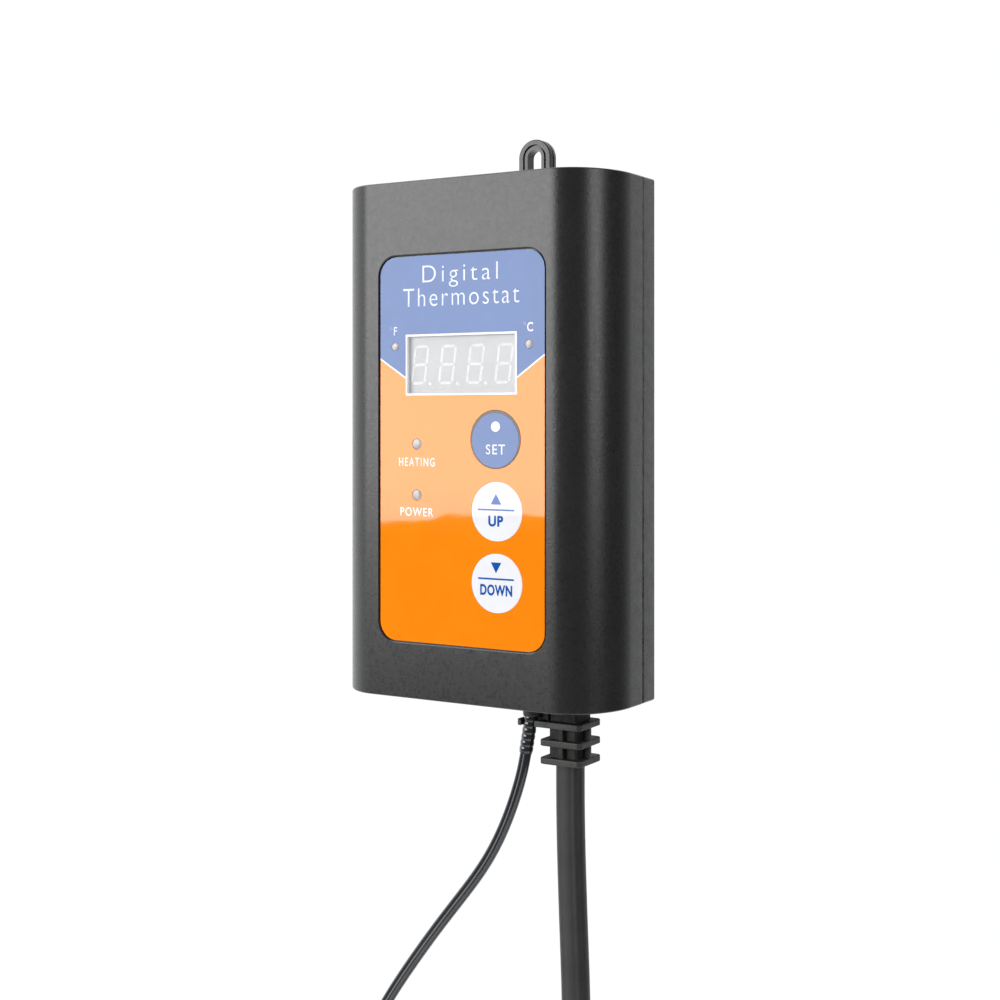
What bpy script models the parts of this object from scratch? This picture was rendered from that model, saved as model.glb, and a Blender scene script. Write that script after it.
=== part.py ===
"""Wall-hung heat-mat thermostat controller: housing, keys, display, boards, cords, plug and probe.

Metres, +Z up. The origin is the centre of the hanging tab's eye on the wall plane (y = 0).
The front faces -Y, and nothing lies behind the wall plane.
"""

import math

import bmesh
import bpy
from mathutils import Matrix, Vector

# ---------------------------------------------------------------- driving dimensions
BODY_W = 0.0730                 # housing width
BODY_D = 0.0280                 # housing depth, wall to front face
BODY_H = 0.1200                 # housing height
CENTRE_X = -0.0060              # housing centre: the tab stands a little to its right
CENTRE_Z = -0.0672
SEAM_Y = -0.0065                # parting line between the front housing and the rear cover
WALL = 0.0020
GAP = 0.0003                    # clearance between neighbouring pieces
CORNER_X = 0.0125               # the front's long side edges are elliptical
CORNER_Y = 0.0160

TOP_Z = CENTRE_Z + BODY_H / 2
BOTTOM_Z = CENTRE_Z - BODY_H / 2
FRONT_Y = -BODY_D
INNER_FRONT_Y = FRONT_Y + WALL

TAB_W = 0.0087                  # hanging tab: an arch with a slot
TAB_T = 0.0030
TAB_TOP_Z = 0.0043
SLOT_W = 0.0038
SLOT_TOP_Z = SLOT_W / 2         # the eye's centre is the origin
SLOT_BOTTOM_Z = TOP_Z + 0.0006

LABEL_X = CENTRE_X + 0.0009     # label centre
LABEL_W = 0.0444
LABEL_H = 0.0892
LABEL_Z = CENTRE_Z - 0.0022
LABEL_R = 0.0044
RECESS_DEPTH = 0.00095
LABEL_FRONT_Y = FRONT_Y + 0.00025
LABEL_T = 0.0004

WINDOW_W = 0.0302
WINDOW_H = 0.0142
WINDOW_Z = CENTRE_Z + 0.01725
DISPLAY_DEPTH = 0.0068
DISPLAY_FACE_Y = FRONT_Y + 0.0013

KEY_R = 0.0067
KEY_X = LABEL_X + 0.0099
KEY_ZS = {"set": CENTRE_Z + 0.0002, "up": CENTRE_Z - 0.0160, "down": CENTRE_Z - 0.0321}
KEY_HOLE_R = KEY_R + GAP
KEY_FLANGE_R = 0.0076
KEY_STEM_R = 0.0024

LED_SPECS = {                   # name: (x, z, radius of the tip)
    "fahrenheit": (LABEL_X - 0.0180, CENTRE_Z + 0.0216, 0.00100),
    "celsius": (LABEL_X + 0.0182, CENTRE_Z + 0.0214, 0.00100),
    "heating": (LABEL_X - 0.0119, CENTRE_Z - 0.0010, 0.00128),
    "power": (LABEL_X - 0.0119, CENTRE_Z - 0.0128, 0.00128),
}

CONTROL_BOARD_Y = (-0.0196, -0.0180)     # front and back faces
CONTROL_BOARD_SIZE = (0.0560, 0.0800)
CONTROL_BOARD_Z = CENTRE_Z - 0.0060
POWER_BOARD_Y = (-0.0046, -0.0030)
POWER_BOARD_SIZE = (0.0540, 0.0860)
POWER_BOARD_Z = CENTRE_Z + 0.0020

BOSS_X = 0.0300
BOSS_Z = 0.0520
BOSS_R = 0.0032
POST_R = 0.0024                 # posts for the boards
POST_HOLE_R = 0.0015
SCREW_SHANK_R = 0.0013
SCREW_HOLE_R = SCREW_SHANK_R + GAP
SCREW_HEAD_R = 0.0027
SCREW_SEAT_Y = -0.0032

CORD_Y = -0.0130                # the mains cord leaves the bottom in this plane
MAINS_X = 0.0154
MAINS_D = 0.0065
RELIEF_FLANGE = (0.0106, 0.0105)
RELIEF_PLATE = 0.0015
RELIEF_PITCH = 0.0041
RELIEF_NECK = 0.0070
RELIEF_FIRST_Z = BOTTOM_Z - 0.0039
RELIEF_BOTTOM_Z = RELIEF_FIRST_Z - RELIEF_PLATE - 2 * RELIEF_PITCH
RELIEF_WING_X = 0.0042          # the first flange reaches this far left, past the probe lead
RELIEF_WING_BACK_Y = -0.0112
RELIEF_NOTCH = (0.00695, 0.0020)         # centre and half width of its notch for the probe lead

PROBE_X = 0.0071
PROBE_Y = -0.0166
PROBE_D = 0.0031
PROBE_COLLAR = (0.0073, -0.0161)
PROBE_COLLAR_R = 0.0023
PROBE_STOP_R = 0.0028
PROBE_BOOT_TILT = math.radians(10)
PROBE_BOOT_L = 0.0082

# The mains cord's coil hangs below the housing, its axis along Y; the probe cord's coil sits inside it.
MAINS_COIL = (0.0220, -0.0130, -0.3000)
MAINS_COIL_R = 0.03525          # middle of the turns
COIL_SIDES = 36
MAINS_COIL_COLUMNS = 3
MAINS_COIL_LAYERS = 2
PROBE_COIL_R = 0.0170
PROBE_COIL_COLUMNS = 5
PROBE_COIL_LAYERS = 3
PROBE_COIL = (0.0220, -0.0130, -0.3068)

# Routes of the stretches that aren't coiled.
MAINS_ROUTE = [
    (0.0154, -0.0130, RELIEF_BOTTOM_Z - GAP),
    (0.0154, -0.0130, -0.1520),
    (0.0157, -0.0130, -0.1640),
    (0.0162, -0.0130, -0.1780),
    (0.0168, -0.0130, -0.1920),
    (0.0170, -0.0131, -0.2050),
    (0.0164, -0.0136, -0.2157),
    (0.0145, -0.0148, -0.2262),
    (0.0113, -0.0165, -0.2364),
    (0.0069, -0.0182, -0.2460),
    (0.0021, -0.0193, -0.2552),
    (-0.0007, -0.0195, -0.2605),
]
PLUG_ROUTE = [
    (-0.0081, -0.0263, -0.3109),
    (-0.0050, -0.0263, -0.3189),
    (-0.0012, -0.0263, -0.3262),
    (0.0036, -0.0263, -0.3330),
    (0.0080, -0.0263, -0.3402),
    (0.0108, -0.0263, -0.3482),
    (0.0119, -0.0263, -0.3566),
    (0.0120, -0.0263, -0.3650),
]
PROBE_ROUTE = [
    (0.0056, -0.0166, -0.1396),
    (0.0050, -0.0166, -0.1425),
    (0.0044, -0.0166, -0.1448),
    (0.0029, -0.0166, -0.1496),
    (0.0006, -0.0166, -0.1554),
    (-0.0023, -0.0166, -0.1614),
    (-0.0061, -0.0166, -0.1675),
    (-0.0108, -0.0166, -0.1735),
    (-0.0157, -0.0166, -0.1795),
    (-0.0206, -0.0166, -0.1857),
    (-0.0254, -0.0166, -0.1921),
    (-0.0301, -0.0166, -0.1986),
    (-0.0346, -0.0167, -0.2054),
    (-0.0387, -0.0168, -0.2128),
    (-0.0421, -0.0170, -0.2210),
    (-0.0445, -0.0173, -0.2300),
    (-0.0457, -0.0177, -0.2396),
    (-0.0455, -0.0183, -0.2492),
    (-0.0439, -0.0192, -0.2586),
    (-0.0408, -0.0203, -0.2675),
    (-0.0361, -0.0217, -0.2755),
    (-0.0300, -0.0230, -0.2824),
    (-0.0228, -0.0241, -0.2879),
    (-0.0148, -0.0247, -0.2919),
    (-0.0054, -0.0247, -0.2946),
    (0.0045, -0.0238, -0.2946),
]
TIP_ROUTE = [
    (0.0410, -0.0247, -0.3090),
    (0.0418, -0.0247, -0.3160),
    (0.0421, -0.0247, -0.3240),
    (0.0422, -0.0247, -0.3330),
    (0.0422, -0.0247, -0.3430),
    (0.0422, -0.0247, -0.3530),
]
ROUTE_STEPS = {"mains": 2, "probe": 2}      # samples of the smooth curve in each route interval

PLUG_X, PLUG_Y = PLUG_ROUTE[-1][0], PLUG_ROUTE[-1][1]
PLUG_RELIEF_TOP = PLUG_ROUTE[-1][2] - GAP
PLUG_RELIEF_L = 0.0260
PLUG_SIZE = (0.0340, 0.0270, 0.0380)
PLUG_TOP = PLUG_RELIEF_TOP - PLUG_RELIEF_L - GAP
BLADE_SPREAD = 0.00635
BLADE_SIZE = (0.0015, 0.0175, 0.0063)
GROUND_DROP = 0.0119
PROBE_SLEEVE_L = 0.0140
PROBE_TIP_L = 0.0300
PROBE_TIP_R = 0.0025

# ---------------------------------------------------------------- finishes
COLOURS = {                     # finish: (colour, roughness, metallic)
    "housing_plastic": ((0.055, 0.056, 0.057), 0.55, 0.0),
    "relief_rubber": ((0.030, 0.030, 0.030), 0.62, 0.0),
    "label_film": ((0.90, 0.38, 0.06), 0.30, 0.0),
    "window_clear": ((0.80, 0.82, 0.84), 0.10, 0.0),
    "display_grey": ((0.66, 0.67, 0.69), 0.40, 0.0),
    "key_lilac": ((0.28, 0.35, 0.58), 0.35, 0.0),
    "key_white": ((0.85, 0.86, 0.88), 0.35, 0.0),
    "led_lens": ((0.60, 0.58, 0.56), 0.35, 0.0),
    "board_green": ((0.02, 0.16, 0.06), 0.45, 0.0),
    "component_black": ((0.02, 0.02, 0.02), 0.45, 0.0),
    "component_blue": ((0.03, 0.12, 0.40), 0.40, 0.0),
    "component_yellow": ((0.75, 0.50, 0.08), 0.45, 0.0),
    "connector_cream": ((0.75, 0.72, 0.62), 0.45, 0.0),
    "terminal_green": ((0.05, 0.35, 0.12), 0.40, 0.0),
    "steel": ((0.55, 0.55, 0.56), 0.30, 1.0),
    "brass_plate": ((0.75, 0.60, 0.30), 0.28, 1.0),
    "cord_black": ((0.035, 0.035, 0.036), 0.45, 0.0),
    "probe_lead_black": ((0.020, 0.021, 0.023), 0.25, 0.0),
    "plug_black": ((0.040, 0.040, 0.042), 0.50, 0.0),
    "tie_black": ((0.025, 0.025, 0.025), 0.80, 0.0),
}

PARTS = None
CUTTERS = None


def clear_scene():
    for obj in list(bpy.data.objects):
        bpy.data.objects.remove(obj, do_unlink=True)


def new_collection(name):
    collection = bpy.data.collections.new(name)
    bpy.context.scene.collection.children.link(collection)
    return collection


def make_material(name):
    colour, roughness, metallic = COLOURS[name]
    material = bpy.data.materials.get(name)
    if material is None:
        material = bpy.data.materials.new(name)
        material.use_nodes = True
        shader = material.node_tree.nodes["Principled BSDF"]
        shader.inputs["Base Color"].default_value = (*colour, 1.0)
        shader.inputs["Roughness"].default_value = roughness
        shader.inputs["Metallic"].default_value = metallic
        material.diffuse_color = (*colour, 1.0)
    return material


def link(obj, collection):
    for other in list(obj.users_collection):
        other.objects.unlink(obj)
    collection.objects.link(obj)
    return obj


def as_part(obj, finish, smooth=True):
    """Put an object among the parts, with its finish and smooth round faces."""
    link(obj, PARTS)
    obj.data.materials.clear()
    obj.data.materials.append(make_material(finish))
    if smooth and obj.type == "MESH":
        obj.data.shade_smooth()
        obj.data.set_sharp_from_angle(angle=math.radians(32))
    return obj


def as_cutter(obj):
    link(obj, CUTTERS)
    obj.hide_render = True
    obj.display_type = "WIRE"
    return obj


def mesh_object(name, bm, location=(0, 0, 0)):
    mesh = bpy.data.meshes.new(name)
    bm.to_mesh(mesh)
    bm.free()
    obj = bpy.data.objects.new(name, mesh)
    bpy.context.scene.collection.objects.link(obj)
    obj.location = location
    return obj


def box(name, size, centre):
    """A plain block: size and centre along X, Y and Z."""
    bm = bmesh.new()
    bmesh.ops.create_cube(bm, size=1.0)
    bmesh.ops.scale(bm, vec=size, verts=bm.verts)
    return mesh_object(name, bm, centre)


def rounded_box(name, size, centre, width, segments=2):
    obj = box(name, size, centre)
    bevel = obj.modifiers.new("round", "BEVEL")
    bevel.width = width
    bevel.segments = segments
    bevel.limit_method = "ANGLE"
    return obj


def rod(name, radius, ends, at, sides=24, tip_radius=None, axis="Y"):
    """A round bar along Y, or along Z, between two coordinates on that axis."""
    low, high = min(ends), max(ends)
    bm = bmesh.new()
    bmesh.ops.create_cone(
        bm, cap_ends=True, segments=sides, radius1=radius,
        radius2=radius if tip_radius is None else tip_radius, depth=high - low,
    )
    if axis == "Y":
        bmesh.ops.rotate(bm, matrix=Matrix.Rotation(math.radians(-90), 3, "X"), verts=bm.verts)
        return mesh_object(name, bm, (at[0], (low + high) / 2, at[1]))
    return mesh_object(name, bm, (at[0], at[1], (low + high) / 2))


def flat_outline(name, loops, thickness):
    """A flat outline in XY, extruded about z = 0 and turned into a welded mesh. Later loops are holes."""
    curve = bpy.data.curves.new(name, "CURVE")
    curve.dimensions = "2D"
    curve.fill_mode = "BOTH"
    curve.extrude = thickness / 2
    for loop in loops:
        spline = curve.splines.new("POLY")
        spline.points.add(len(loop) - 1)
        for point, (x, y) in zip(spline.points, loop):
            point.co = (x, y, 0.0, 1.0)
        spline.use_cyclic_u = True
    obj = bpy.data.objects.new(name, curve)
    bpy.context.scene.collection.objects.link(obj)
    return as_mesh(obj)


def as_mesh(obj):
    """Turn a curve object into a mesh object of the same name and place, its caps welded on."""
    bpy.context.view_layer.update()
    name = obj.name
    evaluated = obj.evaluated_get(bpy.context.evaluated_depsgraph_get())
    mesh = bpy.data.meshes.new_from_object(evaluated)
    bm = bmesh.new()
    bm.from_mesh(mesh)
    bmesh.ops.remove_doubles(bm, verts=bm.verts, dist=1e-6)
    bmesh.ops.recalc_face_normals(bm, faces=bm.faces)
    bm.to_mesh(mesh)
    bm.free()
    solid = bpy.data.objects.new(name + "_solid", mesh)
    bpy.context.scene.collection.objects.link(solid)
    solid.matrix_world = obj.matrix_world
    bpy.data.objects.remove(obj, do_unlink=True)
    solid.name = name
    return solid


def stand_up(obj, centre):
    """Turn a flat outline to face along Y: its own Y becomes Z."""
    obj.rotation_euler = (math.radians(90), 0, 0)
    obj.location = centre
    return obj


def arc(centre, radii, start, end, steps):
    """Points on an ellipse's arc, angles in degrees."""
    points = []
    for step in range(steps + 1):
        angle = math.radians(start + (end - start) * step / steps)
        points.append((centre[0] + radii[0] * math.cos(angle), centre[1] + radii[1] * math.sin(angle)))
    return points


def rounded_rectangle(width, height, radius, steps=6, centre=(0, 0)):
    x, y = width / 2 - radius, height / 2 - radius
    points = []
    for (cx, cy), start in (((x, y), 0), ((-x, y), 90), ((-x, -y), 180), ((x, -y), 270)):
        corner = (centre[0] + cx, centre[1] + cy)
        points += arc(corner, (radius, radius), start, start + 90, steps)
    return points


def arch(width, top, bottom, steps=12):
    """An upright outline with a half-round top, centred on x = 0."""
    radius = width / 2
    return [(-radius, bottom), (radius, bottom)] + arc((0, top - radius), (radius, radius), 0, 180, steps)


def boolean(target, other, operation="DIFFERENCE"):
    modifier = target.modifiers.new(operation.lower(), "BOOLEAN")
    modifier.operation = operation
    modifier.solver = "EXACT"
    modifier.object = as_cutter(other)
    return target


def applied(obj):
    """The object with its modifiers made part of its mesh."""
    bpy.context.view_layer.update()
    evaluated = obj.evaluated_get(bpy.context.evaluated_depsgraph_get())
    mesh = bpy.data.meshes.new_from_object(evaluated)
    obj.modifiers.clear()
    obj.data = mesh
    return obj


def turned(name, profile, steps=24):
    """A turned solid about Z: the profile runs down its outer side, from the top of the axis to its bottom."""
    mesh = bpy.data.meshes.new(name)
    points = [(radius, 0.0, z) for radius, z in profile]
    mesh.from_pydata(points, [(i, i + 1) for i in range(len(points) - 1)], [])
    obj = bpy.data.objects.new(name, mesh)
    bpy.context.scene.collection.objects.link(obj)
    screw = obj.modifiers.new("turn", "SCREW")
    screw.axis = "Z"
    screw.steps = steps
    screw.render_steps = steps
    screw.use_merge_vertices = True
    screw.merge_threshold = 1e-6
    screw.use_normal_calculate = False
    return applied(obj)


def facing_front(obj, x, z):
    """Lay a turned solid down so that its +Z end points to -Y; its z values become -y values."""
    obj.rotation_euler = (math.radians(90), 0, 0)
    obj.location = (x, 0, z)
    return obj


# ---------------------------------------------------------------- housing
def side_profile(inset, back_y):
    """The housing's plan: a flat front, elliptical front corners and straight sides back to back_y."""
    half = BODY_W / 2 - inset
    front = FRONT_Y + inset
    radii = (CORNER_X - inset, CORNER_Y - inset)
    right = arc((half - radii[0], front + radii[1]), radii, -90, 0, 12)
    left = arc((-half + radii[0], front + radii[1]), radii, 180, 270, 12)
    outline = left + right + [(half, back_y), (-half, back_y)]
    return [(x + CENTRE_X, y) for x, y in outline]


def boss_places():
    return [(CENTRE_X + sx * BOSS_X, CENTRE_Z + sz * BOSS_Z) for sx in (-1, 1) for sz in (-1, 1)]


def front_shell():
    """The front housing before its openings: a U-shaped shell with end walls and four screw bosses."""
    shell = flat_outline("front_housing", [side_profile(0.0, SEAM_Y - GAP / 2)], BODY_H)
    shell.location.z = CENTRE_Z
    edge = shell.modifiers.new("edges", "BEVEL")
    edge.width = 0.00035
    edge.segments = 2
    edge.limit_method = "ANGLE"
    edge.angle_limit = math.radians(50)
    inner = flat_outline("front_hollow", [side_profile(WALL, SEAM_Y + 0.004)], BODY_H - 2 * WALL)
    inner.location.z = CENTRE_Z
    boolean(shell, inner)
    for index, place in enumerate(boss_places()):
        boss = rod(f"boss_{index}", BOSS_R, (-0.0252, SEAM_Y - GAP), place, sides=20)
        limit = flat_outline(f"boss_limit_{index}", [side_profile(WALL / 2, SEAM_Y + 0.004)], BODY_H)
        limit.location.z = CENTRE_Z
        boolean(boss, limit, "INTERSECT")
        boolean(shell, boss, "UNION")
    for index, place in enumerate(control_screw_places()):
        ends = (INNER_FRONT_Y - 0.0006, CONTROL_BOARD_Y[0] - GAP)
        post = rod(f"control_post_{index}", POST_R, ends, place, sides=16)
        boolean(shell, post, "UNION")
        boolean(shell, rod(f"control_pilot_{index}", POST_HOLE_R, (-0.0230, -0.0150), place, sides=16))
    return shell


def cut_front_openings(shell):
    """The label's recess, and the holes for the window, keys, lamps, screws and cords."""
    recess_y = FRONT_Y + RECESS_DEPTH
    outline = rounded_rectangle(LABEL_W + 2 * GAP, LABEL_H + 2 * GAP, LABEL_R + GAP, 8)
    recess = stand_up(flat_outline("label_recess", [outline], 2 * RECESS_DEPTH), (LABEL_X, FRONT_Y, LABEL_Z))
    boolean(shell, recess)
    hole_size = (WINDOW_W + 2 * GAP, 0.008, WINDOW_H + 2 * GAP)
    boolean(shell, box("window_hole", hole_size, (LABEL_X, recess_y, WINDOW_Z)))
    wall = (FRONT_Y - 0.002, INNER_FRONT_Y + 0.002)
    for name, z in KEY_ZS.items():
        boolean(shell, rod(f"key_hole_{name}", KEY_HOLE_R, wall, (KEY_X, z), sides=40))
    for name, (x, z, radius) in LED_SPECS.items():
        boolean(shell, rod(f"lamp_hole_{name}", radius + GAP, wall, (x, z)))
    for index, place in enumerate(boss_places()):
        boolean(shell, rod(f"pilot_{index}", SCREW_HOLE_R, (-0.0180, 0.0), place, sides=16))
    relief_hole = (RELIEF_NECK + 2 * GAP, RELIEF_NECK + 2 * GAP, 4 * WALL)
    boolean(shell, box("relief_hole", relief_hole, (MAINS_X, CORD_Y, BOTTOM_Z)))
    collar_hole = rod("collar_hole", PROBE_COLLAR_R + GAP, (BOTTOM_Z - WALL, BOTTOM_Z + 2 * WALL),
                      PROBE_COLLAR, axis="Z")
    boolean(shell, collar_hole)


def front_housing():
    shell = front_shell()
    cut_front_openings(shell)
    as_part(applied(shell), "housing_plastic")


def tab_blank():
    """The hanging tab: an arch with a slot, a grooved front and a grooved edge."""
    foot_z = TOP_Z - 0.0040
    tab = stand_up(flat_outline("tab", [arch(TAB_W, TAB_TOP_Z, foot_z, 18)], TAB_T), (0, -TAB_T / 2, 0))
    rings = (
        ("front_groove", 0.0012, 0.0017, 0.0011, -TAB_T),
        ("edge_groove", -0.0010, 0.00035, 0.0005, -TAB_T / 2),
    )
    for name, outer, inner, depth, y in rings:
        loops = [arch(TAB_W - 2 * outer, TAB_TOP_Z - outer, foot_z - 0.004, 18),
                 arch(TAB_W - 2 * inner, TAB_TOP_Z - inner, foot_z - 0.002, 18)]
        boolean(tab, stand_up(flat_outline(name, loops, depth), (0, y, 0)))
    slot = flat_outline("slot", [arch(SLOT_W, SLOT_TOP_Z, SLOT_BOTTOM_Z)], 4 * TAB_T)
    boolean(tab, stand_up(slot, (0, -TAB_T / 2, 0)))
    return applied(tab)


def rear_cover():
    """A shallow tray with four screw pillars and the hanging tab."""
    front = SEAM_Y + GAP / 2
    depth = -front
    cover = box("rear_cover", (BODY_W, depth, BODY_H), (CENTRE_X, front + depth / 2, CENTRE_Z))
    edge = cover.modifiers.new("edges", "BEVEL")
    edge.width = 0.0004
    edge.segments = 2
    hollow_size = (BODY_W - 2 * WALL, depth, BODY_H - 2 * WALL)
    boolean(cover, box("rear_hollow", hollow_size, (CENTRE_X, front + depth / 2 - WALL, CENTRE_Z)))
    for index, place in enumerate(boss_places()):
        boolean(cover, rod(f"pillar_{index}", 0.0042, (front, -0.0010), place, sides=20), "UNION")
    for index, place in enumerate(power_screw_places()):
        post = rod(f"power_post_{index}", POST_R, (POWER_BOARD_Y[1] + GAP, -0.0010), place, sides=16)
        boolean(cover, post, "UNION")
        boolean(cover, rod(f"power_pilot_{index}", POST_HOLE_R, (-0.0060, -0.0010), place, sides=16))
    boolean(cover, tab_blank(), "UNION")
    for index, place in enumerate(boss_places()):
        boolean(cover, rod(f"counterbore_{index}", SCREW_HEAD_R + GAP, (SCREW_SEAT_Y, 0.002), place))
        boolean(cover, rod(f"through_{index}", SCREW_HOLE_R, (-0.010, 0.002), place, sides=16))
    as_part(applied(cover), "housing_plastic")


def housing_screws():
    for index, place in enumerate(boss_places()):
        head = SCREW_SEAT_Y + GAP
        profile = [
            (0.0, 0.0), (SCREW_SHANK_R, 0.0006), (SCREW_SHANK_R, 0.0120), (SCREW_HEAD_R, 0.0120),
            (SCREW_HEAD_R, 0.0132), (0.0020, 0.0138), (0.0, 0.0138),
        ]
        screw = turned(f"housing_screw_{index + 1}", profile[::-1], steps=16)
        cross = box(f"drive_{index}", (0.0026, 0.0006, 0.0016), (0, 0, 0.0138))
        boolean(screw, cross)
        cross_bar = box(f"drive_bar_{index}", (0.0006, 0.0026, 0.0016), (0, 0, 0.0138))
        boolean(screw, cross_bar)
        applied(screw)
        screw.rotation_euler = (math.radians(-90), 0, 0)
        screw.location = (place[0], head - 0.0120, place[1])
        as_part(screw, "steel")


# ---------------------------------------------------------------- front panel
def overlay_label():
    """The printed film, with openings for the window, the keys and the lamps."""
    outline = rounded_rectangle(LABEL_W, LABEL_H, LABEL_R, 8)
    film = stand_up(flat_outline("overlay_label", [outline], LABEL_T),
                    (LABEL_X, LABEL_FRONT_Y + LABEL_T / 2, LABEL_Z))
    middle = LABEL_FRONT_Y
    through = (middle - 0.002, middle + 0.002)
    window_size = (WINDOW_W + 2 * GAP, 0.004, WINDOW_H + 2 * GAP)
    boolean(film, box("film_window", window_size, (LABEL_X, middle, WINDOW_Z)))
    for name, z in KEY_ZS.items():
        boolean(film, rod(f"film_key_{name}", KEY_HOLE_R, through, (KEY_X, z), sides=40))
    for name, (x, z, radius) in LED_SPECS.items():
        boolean(film, rod(f"film_lamp_{name}", radius + GAP, through, (x, z)))
    as_part(applied(film), "label_film")


def display():
    """The clear window pane and, behind it, the four-digit module on its pins."""
    pane_t = 0.0006
    pane = rounded_box("display_window", (WINDOW_W, pane_t, WINDOW_H),
                       (LABEL_X, LABEL_FRONT_Y + pane_t / 2, WINDOW_Z), 0.00012, 1)
    as_part(applied(pane), "window_clear")
    module = rounded_box("digit_display", (WINDOW_W - 0.0002, DISPLAY_DEPTH, WINDOW_H - 0.0002),
                         (LABEL_X, DISPLAY_FACE_Y + DISPLAY_DEPTH / 2, WINDOW_Z), 0.0002, 1)
    as_part(applied(module), "display_grey")


def keys():
    """Each key: a round cap held behind the front wall, its switch and the switch's plunger."""
    flange_y = INNER_FRONT_Y + GAP
    stem_y = -0.0240
    for name, z in KEY_ZS.items():
        front = LABEL_FRONT_Y
        profile = [
            (0.0, -front), (KEY_R - 0.0003, -front), (KEY_R, -front - 0.0003), (KEY_R, -flange_y),
            (KEY_FLANGE_R, -flange_y), (KEY_FLANGE_R, -flange_y - 0.0008), (KEY_STEM_R, -flange_y - 0.0008),
            (KEY_STEM_R, -stem_y), (0.0, -stem_y),
        ]
        cap = facing_front(turned(f"key_{name}", profile, steps=36), KEY_X, z)
        as_part(cap, "key_lilac" if name == "set" else "key_white")
        plunger = rod(f"plunger_{name}", 0.0017, (stem_y + GAP, -0.0219), (KEY_X, z), sides=16)
        as_part(plunger, "component_black")
        body_ends = (-0.0229, CONTROL_BOARD_Y[0] - GAP)
        middle = sum(body_ends) / 2
        switch = rounded_box(f"switch_{name}", (0.0060, body_ends[1] - body_ends[0], 0.0060),
                             (KEY_X, middle, z), 0.0003, 1)
        boolean(switch, rod(f"switch_well_{name}", 0.0020, (-0.0250, -0.0212), (KEY_X, z), sides=16))
        as_part(applied(switch), "steel")


def lamps():
    """Four 3 mm lamps whose domed tips stand in the label's holes."""
    for name, (x, z, radius) in LED_SPECS.items():
        tip = -FRONT_Y - 0.00005
        dome = arc((0.0, tip - radius * 0.6), (radius, radius * 0.6), 90, 0, 5)
        dome[0] = (0.0, tip)
        shoulder = 0.0254
        profile = dome + [
            (radius, shoulder), (0.0015, shoulder - 0.0004), (0.0015, 0.0212), (0.0019, 0.0212),
            (0.0019, -CONTROL_BOARD_Y[0] + GAP), (0.0, -CONTROL_BOARD_Y[0] + GAP),
        ]
        as_part(facing_front(turned(f"led_{name}", profile, steps=16), x, z), "led_lens")


# ---------------------------------------------------------------- boards
def board(name, ys, size, z, screws):
    plate = box(name, (size[0], ys[1] - ys[0], size[1]), (CENTRE_X, sum(ys) / 2, z))
    for index, (x, zz) in enumerate(screws):
        boolean(plate, rod(f"{name}_hole_{index}", 0.0016, (ys[0] - 0.002, ys[1] + 0.002), (x, zz), sides=16))
    as_part(applied(plate), "board_green")


def control_screw_places():
    return [(CENTRE_X - 0.0250, CONTROL_BOARD_Z + 0.0370), (CENTRE_X + 0.0250, CONTROL_BOARD_Z - 0.0370)]


def power_screw_places():
    return [(CENTRE_X + 0.0240, POWER_BOARD_Z + 0.0390), (CENTRE_X - 0.0240, POWER_BOARD_Z - 0.0390)]


def board_screws():
    """Pan-head screws that hold the two boards."""
    sets = (
        ("control_board_screw", control_screw_places(), CONTROL_BOARD_Y[1], 1, -0.0225),
        ("power_board_screw", power_screw_places(), POWER_BOARD_Y[0], -1, -0.0013),
    )
    for name, places, face, side, shank_end in sets:
        for index, (x, z) in enumerate(places):
            head_ends = (face + side * GAP, face + side * 0.0016)
            head = rod(f"{name}_head_{index}", 0.0024, head_ends, (x, z), sides=16)
            shank = rod(f"{name}_{index + 1}", 0.0012, (face + side * 0.0008, shank_end), (x, z), sides=16)
            boolean(shank, head, "UNION")
            as_part(applied(shank), "steel")


def power_parts():
    """Mains components standing on the power board, towards the front."""
    top = POWER_BOARD_Y[0] - GAP
    blocks = (
        ("relay", (0.0286, 0.0123, 0.0101), (0.0060, 0.0200), "component_black", 0.0003),
        ("film_capacitor", (0.0180, 0.0120, 0.0075), (-0.0130, 0.0100), "component_yellow", 0.0005),
        ("bridge_rectifier", (0.0085, 0.0030, 0.0065), (0.0120, 0.0080), "component_black", 0.0003),
        ("mains_terminal", (0.0300, 0.0110, 0.0100), (0.0080, -0.0320), "terminal_green", 0.0003),
        ("fuse", (0.0200, 0.0060, 0.0060), (0.0090, -0.0180), "connector_cream", 0.0010),
    )
    for name, (w, d, h), (x, z), finish, width in blocks:
        part = rounded_box(name, (w, d, h), (CENTRE_X + x, top - d / 2, POWER_BOARD_Z + z), width, 1)
        as_part(applied(part), finish)
    capacitor = rod("filter_capacitor", 0.0040, (top, top - 0.0115),
                    (CENTRE_X - 0.0160, POWER_BOARD_Z - 0.0040), sides=24)
    as_part(capacitor, "component_black")
    varistor = rod("varistor", 0.0050, (POWER_BOARD_Z - 0.0200, POWER_BOARD_Z - 0.0160),
                   (CENTRE_X - 0.0150, top - 0.0052), sides=24, axis="Z")
    as_part(varistor, "component_blue")
    probe_socket = rounded_box("probe_socket", (0.0075, 0.0070, 0.0060),
                               (CENTRE_X - 0.0220, top - 0.0035, POWER_BOARD_Z - 0.0320), 0.0003, 1)
    as_part(applied(probe_socket), "connector_cream")


def control_parts():
    """The controller chip and the header that joins the two boards, on the control board's back."""
    back = CONTROL_BOARD_Y[1] + GAP
    chip = rounded_box("microcontroller", (0.0075, 0.0020, 0.0100),
                       (CENTRE_X - 0.0050, back + 0.0010, CENTRE_Z - 0.0150), 0.0002, 1)
    as_part(applied(chip), "component_black")
    length = POWER_BOARD_Y[0] - GAP - back
    header = rounded_box("board_header", (0.0200, length, 0.0025),
                         (CENTRE_X - 0.0050, back + length / 2, CENTRE_Z + 0.0315), 0.0002, 1)
    as_part(applied(header), "component_black")


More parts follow.
